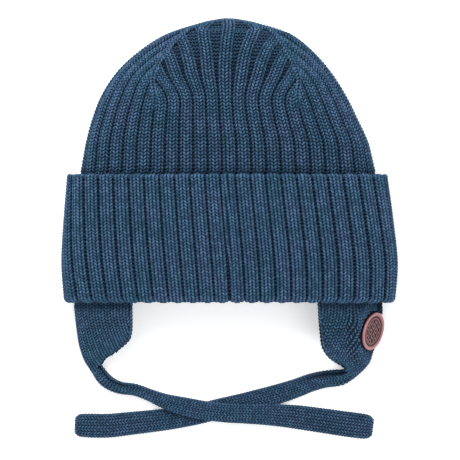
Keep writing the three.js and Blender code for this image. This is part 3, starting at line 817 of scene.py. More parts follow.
@dataclass
class RibbedWall:
    """A two-by-two ribbed wall: where its ribs run over a surface."""

    surface: Surface
    girth: np.ndarray
    ribs_left: np.ndarray
    front_gore: np.ndarray
    twist: np.ndarray
    fade: np.ndarray
    # shade is each grid row's painted shade, such as a painted contact shadow.
    shade: np.ndarray
    front_crowding: float = 0.0
    left_crowding: float = 0.0

    def crowded(self, share: np.ndarray) -> np.ndarray:
        """A share of the girth after the ribs are crowded towards the front and one side."""
        turn = 2 * math.pi * share
        moved = self.front_crowding * np.sin(turn) + self.left_crowding * (np.cos(turn) - 1)
        return share - moved / (2 * math.pi)

    def crowding(self, share: np.ndarray) -> np.ndarray:
        """By how much that narrows the ribs at a share of the girth."""
        turn = 2 * math.pi * share
        return 1 - self.front_crowding * np.cos(turn) + self.left_crowding * np.sin(turn)

    def read(self, values: np.ndarray, rows: np.ndarray) -> np.ndarray:
        """Values kept for each grid row, read between the rows."""
        return np.interp(rows, np.arange(len(values)), values)

    def gore_width(self, rows: np.ndarray, gore: int) -> np.ndarray:
        """A gore's share of the girth."""
        front = self.read(self.front_gore, rows)
        return front if gore % 2 == 0 else 2 / GAUGE.gores - front

    def share(self, rows: np.ndarray, gore: int, s: np.ndarray) -> np.ndarray:
        """The even share of the girth at a place, in ribs from the gore's middle."""
        left = self.read(self.ribs_left, rows)
        u = np.clip(s, -left, left) / (2 * left)
        return gore / GAUGE.gores + u * self.gore_width(rows, gore) + self.read(self.twist, rows) / GAUGE.ribs

    def pitch(self, rows: np.ndarray, gore: int, s: float = 0.0) -> np.ndarray:
        """The distance between ribs at a place, in millimetres."""
        width = self.read(self.girth, rows) * self.gore_width(rows, gore)
        even = width / (2 * self.read(self.ribs_left, rows))
        return even * self.crowding(self.share(rows, gore, np.full(np.shape(rows), s)))

    def column(self, rows: np.ndarray, gore: int, s: np.ndarray) -> np.ndarray:
        """The grid column of a place, in ribs from the gore's middle."""
        return self.crowded(self.share(rows, gore, s)) * self.surface.column_count

    def stitched_rows(self, rows: np.ndarray, gore: int, s: float, row_pitch: float) -> np.ndarray:
        """Grid rows at even distances along one rib."""
        path = self.surface.at(rows, self.column(rows, gore, np.full(rows.shape, s)))
        reached = arc_lengths(path)
        count = int(reached[-1] / row_pitch)
        wanted = (np.arange(count) + 0.5) * reached[-1] / max(count, 1)
        return np.interp(wanted, reached, rows)

    def lay(self, legs: Legs, rows: np.ndarray, gore: int, rib: int, row_pitch: float, way: WaleWay) -> None:
        """Lays the four legs of each row of a rib.

        Args:
            legs: What the legs are added to.
            rows: The grid rows that the rib may run through.
            gore: The rib's gore.
            rib: The rib's number in its gore.
            row_pitch: The distance between its rows of stitches.
            way: Which way its stitches open.
        """
        s = rib + 0.5 - GAUGE.half_gore
        alive = rows[np.abs(s) - GAUGE.leg_reach <= self.read(self.ribs_left, rows)]
        if len(alive) < 2:
            return
        here = self.stitched_rows(alive, gore, s, row_pitch)
        pitch = self.pitch(here, gore, s)
        left = self.read(self.ribs_left, here)
        fade = self.read(self.fade, here)
        close = np.minimum(GAUGE.widest_leg_step, pitch * GAUGE.leg_share)
        for step in (-3, -1, 1, 3):
            offset = step * close
            place = s + offset / pitch
            kept = (np.abs(place) < left - 0.1) | (left >= GAUGE.half_gore)
            outer = abs(step) == 3
            side = 1.0 if step in (-1, 3) else -1.0
            # The tone is the row's painted shade, with painted shade on the shoulder legs and a painted
            # highlight on the crest legs.
            legs.add(
                self.surface,
                here[kept],
                self.column(here, gore, place)[kept],
                (GAUGE.leg_depth + (GAUGE.shoulder_drop if outer else 0.0) * fade)[kept],
                side * way.value,
                (math.copysign(GAUGE.shoulder_roll if outer else 0.14, step) * fade)[kept],
                tone=(self.read(self.shade, here) + (-0.1 if outer else 0.1))[kept],
            )

    def lay_groove(
        self, legs: Legs, rows: np.ndarray, gore: int, rib: int, row_pitch: float, way: WaleWay
    ) -> None:
        """Lays the sunk stitches in the groove after a rib, more of them abreast where it is wide, darkened
        with painted shade.

        Args:
            legs: What the legs are added to.
            rows: The grid rows that the groove may run through.
            gore: The rib's gore.
            rib: The rib's number in its gore.
            row_pitch: The distance between its rows of stitches.
            way: Which way the stitches beside it open.
        """
        s = rib + 1.0 - GAUGE.half_gore
        left = self.read(self.ribs_left, rows)
        border = rib == GAUGE.ribs_per_gore - 1
        alive = rows[(np.abs(s) <= left - 0.1) | (left >= GAUGE.half_gore) | border]
        if len(alive) < 2:
            return
        here = self.stitched_rows(alive, gore, s, row_pitch)
        left = self.read(self.ribs_left, here)
        pitch = self.pitch(here, gore, s)
        room = pitch - 2 * np.minimum(GAUGE.ridge_half, GAUGE.ridge_share * pitch)
        if border:
            closing = left < GAUGE.half_gore
            outermost = np.floor(left - 0.1 + 0.5) if GAUGE.ribs_per_gore % 2 else np.floor(left)
            beside = np.maximum(left - outermost, 0) * pitch
            room = np.where(closing, 2 * np.maximum(beside - GAUGE.ridge_half, 0.6), room)
        fade = self.read(self.fade, here)
        depth = GAUGE.leg_depth + (GAUGE.groove_depth - GAUGE.groove_leg_rise - GAUGE.leg_depth) * fade
        abreast = 2 * np.clip(np.round(room / 2 / GAUGE.groove_leg_step), 1, 4)
        step = np.clip(room / abreast, 0.7, GAUGE.groove_leg_step)
        across = self.surface.column_count / self.read(self.girth, here)
        # Painted shade on the sunk stitches, darkest where the groove is narrow, and a lighter painted shade
        # where the ribs fade out.
        shade = GAUGE.groove_painted_shade * (1 - 0.6 * smooth_step(room, 2.0, 5.5))
        middle = self.column(here, gore, np.full(here.shape, GAUGE.half_gore if border else s))
        for slot in range(8):
            kept = abreast > slot
            offset = (slot - (abreast - 1) / 2) * step
            legs.add(
                self.surface,
                here[kept],
                (middle + offset * across)[kept],
                depth[kept],
                (1.0 if slot % 2 else -1.0) * way.value,
                0.0,
                GAUGE.groove_leg,
                tone=(shade * fade - 0.35 * (1 - fade))[kept],
            )

    def profile(self, rows: np.ndarray, gore: int, rib: int) -> tuple[np.ndarray, np.ndarray, np.ndarray]:
        """The columns, depths and painted-shade tones of the wall under one rib and half of each groove
        beside it.

        Args:
            rows: The grid rows of the wall's mesh.
            gore: The rib's gore.
            rib: The rib's number in its gore.

        Returns:
            Three arrays of rows by places across the rib.
        """
        s = rib + 0.5 - GAUGE.half_gore
        pitch = self.pitch(rows, gore, s)
        half = np.minimum(GAUGE.ridge_half, GAUGE.ridge_share * pitch)
        left = self.read(self.ribs_left, rows)
        fade = self.read(self.fade, rows)
        columns, depths, tones = [], [], []
        for share, sunk, tone in RIB_PROFILE:
            reach = share * half if abs(share) <= 1.1 else math.copysign(1, share) * pitch / 2
            place = s + reach / pitch
            closed = (np.abs(place) >= left - 0.08) & (left < GAUGE.half_gore)
            depth = GAUGE.shell_depth + (GAUGE.groove_depth - GAUGE.shell_depth) * sunk * fade
            columns.append(self.column(rows, gore, place))
            depths.append(np.where(closed, GAUGE.shell_depth, depth))
            # The wall under the stitches gets painted shade, darkest in the grooves.
            tones.append(np.where(closed, -1.0, tone) * np.ones(rows.shape))
        return np.stack(columns, 1), np.stack(depths, 1), np.stack(tones, 1)

    def shell(self, rows: np.ndarray) -> tuple[np.ndarray, np.ndarray]:
        """The points and painted-shade tones of the wall's outer face, ring by ring."""
        parts = [
            self.profile(rows, gore, rib) for gore in range(GAUGE.gores) for rib in range(GAUGE.ribs_per_gore)
        ]
        columns, depths, tones = (np.concatenate([part[i] for part in parts], axis=1) for i in range(3))
        wide = np.broadcast_to(rows[:, None], columns.shape)
        points = self.surface.at(wide, columns, depths)
        points[..., 2] = np.maximum(points[..., 2], 0.25)
        return points, tones


# Each place across a rib: its share of the half ridge, how far it sinks, and its painted shade, darkest in
# the grooves.
RIB_PROFILE = (
    (-2.0, 1.0, -3.2),
    (-1.1, 0.92, -3.2),
    (-0.96, 0.4, -2.6),
    (-0.7, 0.12, -2.2),
    (-0.35, 0.0, -2.0),
    (0.0, 0.05, -2.0),
    (0.35, 0.0, -2.0),
    (0.7, 0.12, -2.2),
    (0.96, 0.4, -2.6),
    (1.1, 0.92, -3.2),
)


@dataclass
class Cuff:
    """The turned-up cuff, from its fold at the mouth to its free edge."""

    width: float = 215.6
    height: float = 82.6
    depth: float = 48.0
    twist_ribs: float = 0.54
    columns: int = 880
    rows: Table = Table(
        ("height", "width", "crest", "shift"),
        (
            (0.0, 0.984, 0.84, 0.003),
            (0.3, 1.0, 0.9, 0.003),
            (0.6, 0.984, 0.96, 0.0),
            (1.0, 0.952, 1.0, -0.004),
        ),
    )

    @property
    def mouth(self) -> float:
        """The level of the mouth's fold."""
        return -self.height / 2

    @property
    def top(self) -> float:
        """The level of the free edge."""
        return self.height / 2

    @property
    def fold_radius(self) -> float:
        """The radius of the fold at the mouth."""
        return (GAUGE.cuff_wall + GAUGE.fit_gap + GAUGE.crown_wall) / 2

    @property
    def edge_radius(self) -> float:
        """The radius of the free edge."""
        return GAUGE.cuff_wall / 2

    @property
    def fold_level(self) -> float:
        """Where the fold's circle has its centre."""
        return self.mouth + self.fold_radius

    def section(self, y: float) -> Section:
        """The cuff's section at a level."""
        at = (y - self.mouth) / self.height
        columns = ("width", "crest", "shift")
        width, crest, shift = (float(self.rows.along("height", name, at)) for name in columns)
        half = width * self.width / 2
        return Section(y, half, crest * self.depth, -GAUGE.pressed_in, CREST_POWER, shift * self.width)

    def twist(self, y: float) -> float:
        """How far the ribs lean at a level, in ribs."""
        return self.twist_ribs * (self.top - y) / self.height

    def stations(self) -> list[tuple[float, float, float, float]]:
        """Each row's level, radius, turn and way, from inside the mouth round to the free edge."""
        edge_level = self.top - self.edge_radius
        fold = [(self.fold_level, self.fold_radius, turn, -1.0) for turn in np.linspace(math.pi, 0, 13)]
        face = [(y, 1.0, 0.0, 1.0) for y in np.linspace(self.fold_level, edge_level, 61)[1:-1]]
        edge = [(edge_level, self.edge_radius, turn, 1.0) for turn in np.linspace(0, math.pi, 9)]
        return fold + face + edge

    def wall(self) -> RibbedWall:
        """The ribbed wall of the cuff's outer face."""
        rings, girths, twists, fades = [], [], [], []
        for y, radius, turn, way in self.stations():
            inset = radius * (1 - math.cos(turn))
            floor = 0.0 if inset < GAUGE.cuff_wall else inset - GAUGE.pressed_in
            ring, girth = self.section(y).ring(self.columns, inset, floor)
            ring[:, 1] += way * radius * math.sin(turn)
            rings.append(ring)
            girths.append(girth)
            twists.append(self.twist(y))
            fades.append((1 + math.cos(turn)) / 2 if way > 0 else 1 + 0.85 * min(math.cos(turn), 0))
        count = len(rings)
        even = np.full(count, 1 / GAUGE.gores)
        ribs = np.full(count, GAUGE.half_gore)
        surface = Surface(np.stack(rings), True)
        plain = np.zeros(count)
        rows = (np.array(girths), ribs, even, np.array(twists), np.array(fades), plain)
        return RibbedWall(surface, *rows, 0.08, 0.012)

    def build(self, tree: StitchTree, yarn: bpy.types.Material) -> None:
        """Makes the cuff's wall and its stitches."""
        wall = self.wall()
        last = wall.surface.row_count - 1
        fold, rim = 12, last - 8
        rows = np.concatenate(
            [np.linspace(0, fold, 9), np.linspace(fold, rim, 16)[1:-1], np.linspace(rim, last, 7)]
        )
        points, tones = wall.shell(rows)
        inner = []
        count = points.shape[1]
        for y in np.linspace(self.top - self.edge_radius, self.fold_level, 4):
            ring, _ = self.section(y).ring(count, GAUGE.cuff_wall, GAUGE.cuff_wall - GAUGE.pressed_in)
            inner.append(np.roll(ring, first_rib(count, self.twist(y)), axis=0))
        points = np.concatenate([points, np.stack(inner)])
        # The cuff's inner face gets a painted shade.
        tones = np.concatenate([tones, np.full((len(inner), count), -0.8)])
        faces = grid_faces(len(points), count, True, True)
        piece = new_piece("cuff_wall", points.reshape(-1, 3), faces.tolist(), tones.ravel())
        finish_piece(piece, "cuff", yarn)
        self.knit(wall, tree, yarn)

    def knit(self, wall: RibbedWall, tree: StitchTree, yarn: bpy.types.Material) -> None:
        """Lays the cuff's stitches, the front's and the back's as a piece each."""
        front, back = Legs(), Legs()
        rows = np.linspace(1.0, wall.surface.row_count - 2.0, 240)
        for gore in range(GAUGE.gores):
            for rib in range(GAUGE.ribs_per_gore):
                share = gore / GAUGE.gores + (rib + 0.5 - GAUGE.half_gore) / GAUGE.ribs
                legs = front if faces_front(share) else back
                wall.lay(legs, rows, gore, rib, GAUGE.cuff_row, WaleWay.OPENING)
                wall.lay_groove(legs, rows, gore, rib, GAUGE.cuff_row * 1.25, WaleWay.OPENING)
        knitted = (("cuff_stitches_front", front, 3, 5), ("cuff_stitches_back", back, 5, 4))
        for name, legs, seed, sides in knitted:
            piece = tree.knit(name, legs.joined(), yarn, seed, sides)
            finish_piece(piece, "cuff", yarn)


@dataclass
class Crown:
    """The dome above the cuff and the tube that runs down inside it."""

    cuff: Cuff
    width: float = 186.8
    height: float = 99.8
    depth: float = 44.0
    apex_height: float = 1.002
    apex_rise: float = 0.22
    tucked: float = 8.0
    columns: int = 880
    closing: tuple = (0.9, 0.78, 0.65, 0.52, 0.4, 0.28, 0.16)
    easing: int = 5
    sway: float = 0.13
    # How dark the painted contact shadow on the crown just above the cuff is.
    painted_contact_shadow: float = 1.1
    rows: Table = Table(
        ("height", "width", "crest", "back", "lean", "ribs", "gore", "shift", "round"),
        (
            (0.02, 1.01, 0.99, 0.055, 0, 5.5, 0.25, -0.002, 0),
            (0.09, 0.996, 1.0, 0.03, 0, 5.5, 0.25, -0.003, 0),
            (0.21, 0.968, 1.01, -0.045, 0, 5.5, 0.25, -0.005, 0),
            (0.35, 0.914, 1.0, -0.045, 0, 5.5, 0.25, -0.012, 0.3),
            (0.49, 0.849, 0.966, -0.045, 0, 5.5, 0.256, -0.016, 0.6),
            (0.62, 0.765, 0.91, -0.045, 0.02, 4.5, 0.29, -0.016, 0.8),
            (0.715, 0.68, 0.83, -0.04, 0.07, 3.5, 0.29, -0.012, 1),
            (0.795, 0.586, 0.74, -0.02, 0.12, 2.5, 0.28, -0.006, 1),
            (0.86, 0.49, 0.63, 0.01, 0.15, 1.5, 0.265, 0, 1),
            (0.91, 0.385, 0.52, 0.04, 0.11, 1.25, 0.255, 0.002, 1),
            (0.945, 0.25, 0.42, 0.08, 0.09, 1.05, 0.25, 0, 1),
            (0.968, 0.13, 0.34, 0.13, 0.065, 0.8, 0.25, 0, 1),
        ),
    )

    @property
    def tip(self) -> np.ndarray:
        """The point where the dome closes."""
        return np.array([0.0, self.cuff.top + self.apex_height * self.height, self.apex_rise * self.depth])

    def section(self, height: float, level: float | None = None) -> Section:
        """The crown's section of a height, placed at that height or at another level."""
        read = {name: float(self.rows.along("height", name, height)) for name in self.rows.columns[1:]}
        power = CREST_POWER + (DOME_POWER - CREST_POWER) * min(max(read["round"], 0), 1)
        y = self.cuff.top + (height if level is None else level) * self.height
        crest, back, lean = (read[name] * self.depth for name in ("crest", "back", "lean"))
        half, shift = read["width"] * self.width / 2, read["shift"] * self.width
        return Section(y, half, crest, back, power, shift, lean)

    def hidden_section(self, y: float) -> Section:
        """The tube's section inside the cuff."""
        outer = self.cuff.section(y)
        inset = GAUGE.cuff_wall + GAUGE.fit_gap
        return replace(
            outer, half_width=outer.half_width - inset, crest=outer.crest - inset, back=outer.back + inset
        )

    def emerging_section(self, y: float) -> Section:
        """The tube's section where it rises out of the cuff, as narrow as the dome above it."""
        tube, dome = self.hidden_section(y), self.section(self.rows.column("height")[0])
        low, high = self.cuff.top - self.tucked, self.cuff.top - 2 * self.cuff.edge_radius
        share = float(smooth_step(np.array(y), low, high))
        mixed = {
            name: getattr(tube, name) * (1 - share) + getattr(dome, name) * share
            for name in ("half_width", "crest", "back", "shift")
        }
        return replace(tube, **mixed)

    def wall(self) -> RibbedWall:
        """The ribbed wall of the dome."""
        levels = np.linspace(self.cuff.top - self.tucked, self.cuff.top - self.cuff.edge_radius, 4)
        heights = np.concatenate([np.linspace(0.02, 0.86, 70), np.linspace(0.86, 0.968, 31)[1:]])
        sections = [self.emerging_section(y) for y in levels] + [self.section(h) for h in heights]
        rings, girths = (list(part) for part in zip(*(section.ring(self.columns) for section in sections)))
        rim, rim_girth = rings[-1], girths[-1]
        for share in self.closing:
            ring = self.tip + (rim - self.tip) * [share, share**2, share]
            rings.append(ring)
            girths.append(rim_girth * share)
        closed = np.full(len(self.closing), heights[-1])
        keys = np.concatenate([np.full(len(levels), heights[0]), heights, closed])
        ribs = eased(self.rows.steady("height", "ribs", keys), self.easing)
        gore = self.rows.along("height", "gore", keys)
        sway = self.sway * (1 - smooth_step(keys[len(levels) :], 0.5, 0.85))
        twist = np.concatenate([[self.cuff.twist(y) for y in levels], sway])
        above = np.concatenate([levels - self.cuff.top, keys[len(levels) :] * self.height])
        # Painted contact shadow on the crown's stitches just above the cuff's free edge.
        shade = -self.painted_contact_shadow * (1 - smooth_step(above, 0.5, 4.5))
        fade = 1 - 0.88 * smooth_step(keys, 0.905, 0.958)
        surface = Surface(np.stack(rings), True)
        return RibbedWall(surface, np.array(girths), ribs, gore, twist, fade, shade, 0.02, 0.03)

    def build(self, tree: StitchTree, yarn: bpy.types.Material) -> None:
        """Makes the crown's wall and its stitches."""
        wall = self.wall()
        last = wall.surface.row_count - 1
        rows = np.concatenate([np.linspace(0, 73, 36), np.linspace(73, last, 24)[1:]])
        outer, tones = wall.shell(rows)
        count = outer.shape[1]
        levels = np.linspace(self.cuff.fold_level - 0.4, self.cuff.top - self.tucked - 2.0, 5)
        tube = np.stack([self._turned(self.hidden_section(y), y, count, 0.6, 0.0) for y in levels])
        outer = np.concatenate([tube, outer])
        # The tube inside the cuff gets a painted shade.
        tones = np.concatenate([np.full((len(tube), count), -1.0), tones])
        pressed = GAUGE.crown_wall - GAUGE.pressed_in
        lining = [self._turned(self.hidden_section(y), y, count, GAUGE.crown_wall, 0.0) for y in levels]
        shrink = (self.height - GAUGE.crown_wall) / self.height
        for height in np.linspace(0.02, 0.968, 15):
            section = self.section(height, height * shrink)
            lining.append(self._turned(section, self.cuff.top, count, GAUGE.crown_wall, pressed))
        inner = np.stack(lining)
        tips = self.tip[None, :]
        inner_tip = tips - [[0, GAUGE.crown_wall, 0]]
        rings = np.concatenate([inner[::-1], outer])
        points = np.concatenate([rings.reshape(-1, 3), tips, inner_tip])
        # The lining and the tips get a painted shade.
        tones = np.concatenate([np.full(inner.shape[:2], -0.8).ravel(), tones.ravel(), [-0.8, -0.8]])
        faces = grid_faces(len(rings), count, False, True).tolist()
        total = len(rings) * count
        for c in range(count):
            after = (c + 1) % count
            faces.append((total - count + c, total - count + after, total))
            faces.append((after, c, total + 1))
        piece = new_piece("crown_wall", points, faces, tones)
        weld(piece)
        finish_piece(piece, "crown", yarn)
        self.knit(wall, tree, yarn)

    def _turned(self, section: Section, y: float, count: int, inset: float, floor: float) -> np.ndarray:
        """A ring whose columns lie under those of the ribs, which start at the first gore's side."""
        ring, _ = section.ring(count, inset, floor)
        twist = self.cuff.twist(y) if y < self.cuff.top else 0.0
        return np.roll(ring, first_rib(count, twist), axis=0)

    def knit(self, wall: RibbedWall, tree: StitchTree, yarn: bpy.types.Material) -> None:
        """Lays the crown's stitches, the front's and the back's as a piece each."""
        front, back = Legs(), Legs()
        rows = np.linspace(0.0, wall.surface.row_count - 1.0, 400)
        for gore in range(GAUGE.gores):
            for rib in range(GAUGE.ribs_per_gore):
                share = gore / GAUGE.gores + (rib + 0.5 - GAUGE.half_gore) / GAUGE.ribs
                legs = front if faces_front(share) else back
                wall.lay(legs, rows, gore, rib, GAUGE.crown_row, WaleWay.CLOSING)
                wall.lay_groove(legs, rows, gore, rib, GAUGE.crown_row * 1.2, WaleWay.CLOSING)
            self._lay_decrease(wall, front if gore in (0, 3) else back, rows, gore)
        knitted = (("crown_stitches_front", front, 7, 5), ("crown_stitches_back", back, 9, 4))
        for name, legs, seed, sides in knitted:
            piece = tree.knit(name, legs.joined(), yarn, seed, sides)
            finish_piece(piece, "crown", yarn)

    def _lay_decrease(self, wall: RibbedWall, legs: Legs, rows: np.ndarray, gore: int) -> None:
        """Lays the raised chain of stitches along the line where a gore meets the next."""
        closing = rows[wall.read(wall.ribs_left, rows) < GAUGE.half_gore - 0.02]
        here = wall.stitched_rows(closing, gore, GAUGE.half_gore, GAUGE.crown_row)
        girth = wall.read(wall.girth, here)
        middle = wall.column(here, gore, np.full(here.shape, GAUGE.half_gore))
        for side in (-1.0, 1.0):
            columns = middle + side * 1.0 / girth * wall.surface.column_count
            # The raised chain gets a slight painted highlight.
            legs.add(wall.surface, here, columns, 0.55, -side, side * 0.3, tone=0.1)


@dataclass(frozen=True)
class SheetRow:
    """One section of a flap, from its free front edge round its fold to its free back edge."""

    start: tuple
    direction: tuple
    width: float
    base: float
    rise: float
    lean: float
    reach: float
    power: float

    def point(self, angle: np.ndarray) -> np.ndarray:
        """Points of the section at angles from its crest."""
        girdle = self.rise * GIRDLE_SHARE
        up = np.cos(angle) >= 0
        half = np.where(up, self.power, BACK_POWER)
        tall = signed_power(np.cos(angle), 2 / half)
        z = girdle + np.where(up, self.rise - girdle, girdle) * tall
        leant = self.lean * np.maximum(z - girdle, 0) / (self.rise - girdle)
        inwards = self.reach - self.reach * np.power(np.abs(np.sin(angle)), 2 / half) + leant
        start, direction = np.array([*self.start, self.base]), np.array([*self.direction, 0.0])
        return start + inwards[:, None] * direction + z[:, None] * np.array([0, 0, 1.0])

    def spread(self, count: int) -> tuple[np.ndarray, float, float]:
        """Points at even distances, the section's length and how far along it its fold lies."""
        def edge(length: float, half: float) -> float:
            """The angle at which a side of the row, so long, ends."""
            return math.asin(max(1 - length / self.reach, 0) ** (half / 2))

        start, end = edge(self.width - self.lean, self.power), math.pi - edge(self.width, BACK_POWER)
        angles = np.linspace(start, end, ARC_SAMPLES + 1)
        reached = arc_lengths(self.point(angles))
        wanted = np.interp(np.linspace(0, reached[-1], count), reached, angles)
        return self.point(wanted), float(reached[-1]), float(np.interp(math.pi / 2, angles, reached))


@dataclass
class Patch:
    """The round leather patch: its rim, its ring and its lattice."""

    centre: tuple
    diameter: float = 24.7
    thickness: float = 1.5
    rim_width: float = 1.9
    rim_height: float = 0.5
    aside: float = math.radians(59)
    down: float = math.radians(14.6)
    ring_share: float = 0.76
    ring_width: float = 1.2
    lattice_pitch: float = 4.6
    lattice_width: float = 1.1
    dot_radius: float = 1.0
    cut: float = 0.5

    def normal(self) -> np.ndarray:
        """The way the patch faces."""
        aside, down = self.aside, self.down
        out = math.sin(aside)
        return np.array([out * math.cos(down), -out * math.sin(down), math.cos(aside)])

    def height(self, x: np.ndarray, y: np.ndarray) -> tuple[np.ndarray, np.ndarray, np.ndarray]:
        """The relief over the patch's face.

        Args:
            x: Places across it.
            y: Places up it.

        Returns:
            Heights above its back, how far each place is engraved and how far it is on the rim.
        """
        radius = self.diameter / 2
        r = np.hypot(x, y)
        ring = np.exp(-(((r - self.ring_share * radius) / (self.ring_width / 2)) ** 2) * 1.2)
        u, v = (x + y) / math.sqrt(2), (x - y) / math.sqrt(2)
        lines = [np.abs((w / self.lattice_pitch + 0.5) % 1 - 0.5) * self.lattice_pitch for w in (u, v)]
        inside = 1 / (1 + np.exp((r - 0.66 * radius) * 6))
        lattice = np.exp(-((np.minimum(*lines) / (self.lattice_width / 2)) ** 2)) * inside
        from_dot = np.hypot(*[self.lattice_pitch / 2 - line for line in lines])
        dots = np.exp(-((from_dot / self.dot_radius) ** 4)) * inside
        engraved = np.clip(ring + lattice + dots, 0, 1)
        rim = 1 / (1 + np.exp(-(r - (radius - self.rim_width)) * 7))
        face = self.thickness - self.rim_height
        rounded = self.rim_height * 0.5 * np.clip((r - (radius - 0.55)) / 0.55, 0, 1) ** 2
        engraved = engraved * (1 - rim)
        return face + rim * self.rim_height - rounded - self.cut * engraved, engraved, rim

    def build(self, leather: bpy.types.Material) -> None:
        """Makes the patch."""
        radius = self.diameter / 2
        around = 128
        turns = np.arange(around) / around * 2 * math.pi
        steps = np.concatenate([np.linspace(0.2, radius - 0.25, 58), [radius - 0.1, radius]])
        r, a = np.meshgrid(steps, turns, indexing="ij")
        x, y = r * np.cos(a), r * np.sin(a)
        z, engraved, rim = self.height(x, y)
        side_z = np.array([0.35 * self.thickness, 0.12])
        side_r = np.array([radius, radius - 0.3])
        low = np.stack(
            [
                np.outer(side_r, np.cos(turns)),
                np.outer(side_r, np.sin(turns)),
                np.outer(side_z, np.ones(around)),
            ],
            axis=-1,
        )
        top = np.stack([x, y, z], -1)
        rings = np.concatenate([top, low, low[-1:] * [0.5, 0.5, 0.0]])
        middle, middle_cut, _ = self.height(np.zeros(1), np.zeros(1))
        local = np.concatenate([rings.reshape(-1, 3), [[0, 0, middle[0]], [0, 0, 0]]])
        total = len(rings) * around
        faces = grid_faces(len(rings), around, False, True)[:, ::-1].tolist()
        for c in range(around):
            after = (c + 1) % around
            faces.append((c, after, total))
            faces.append((total - around + after, total - around + c, total + 1))
        up = Vector(self.normal())
        turn = Vector((0, 0, 1)).rotation_difference(up).to_matrix()
        points = local @ np.array(turn).T + np.array(self.centre)
        piece = new_piece("leather_disc", points, faces)
        extra = np.zeros(3 * around)
        for name, values, tip in (("engraved", engraved, middle_cut[0]), ("rim", rim, 0.0)):
            data = np.concatenate([values.ravel(), extra, [tip, 0.0]]).astype(np.float32)
            piece.data.attributes.new(name, "FLOAT", "POINT").data.foreach_set("value", data)
        finish_piece(piece, "leather_patch", leather)


FLAP_COLUMNS = ("outer", "outer_down", "edge", "edge_down", "base", "rise", "lean", "reach")
LEFT_FLAP = Table(
    FLAP_COLUMNS,
    (
        (-0.01, 0.03, 0.915, 0.03, 0.1, 0.56, 0, 2.3),
        (0.0, 0.19, 0.915, 0.19, 0.05, 0.56, 0.03, 1.7),
        (0.02, 0.387, 0.91, 0.387, 0, 0.5, 0.12, 1.25),
        (0.055, 0.598, 0.87, 0.527, 0, 0.4, 0.16, 1.05),
        (0.13, 0.811, 0.695, 0.671, 0, 0.3, 0.1, 0.8),
        (0.195, 0.911, 0.495, 0.782, 0, 0.22, 0.05, 0.55),
        (0.275, 1.02, 0.42, 0.873, 0, 0.15, 0, 0.3),
    ),
)
RIGHT_FLAP = Table(
    FLAP_COLUMNS,
    (
        (-0.02, 0.03, 1.055, 0.03, 0.1, 0.56, 0, 2.3),
        (-0.005, 0.24, 1.04, 0.24, 0.03, 0.55, 0.08, 1.5),
        (0.03, 0.416, 1.02, 0.438, 0, 0.5, 0.25, 1.25),
        (0.09, 0.593, 0.99, 0.627, 0, 0.42, 0.25, 1.12),
        (0.17, 0.771, 0.888, 0.771, 0, 0.33, 0.15, 0.9),
        (0.27, 0.913, 0.738, 0.864, 0, 0.24, 0.08, 0.6),
        (0.39, 1.024, 0.63, 0.918, 0, 0.17, 0.02, 0.4),
        (0.5, 1.104, 0.645, 0.94, 0, 0.15, 0, 0.3),
    ),
)


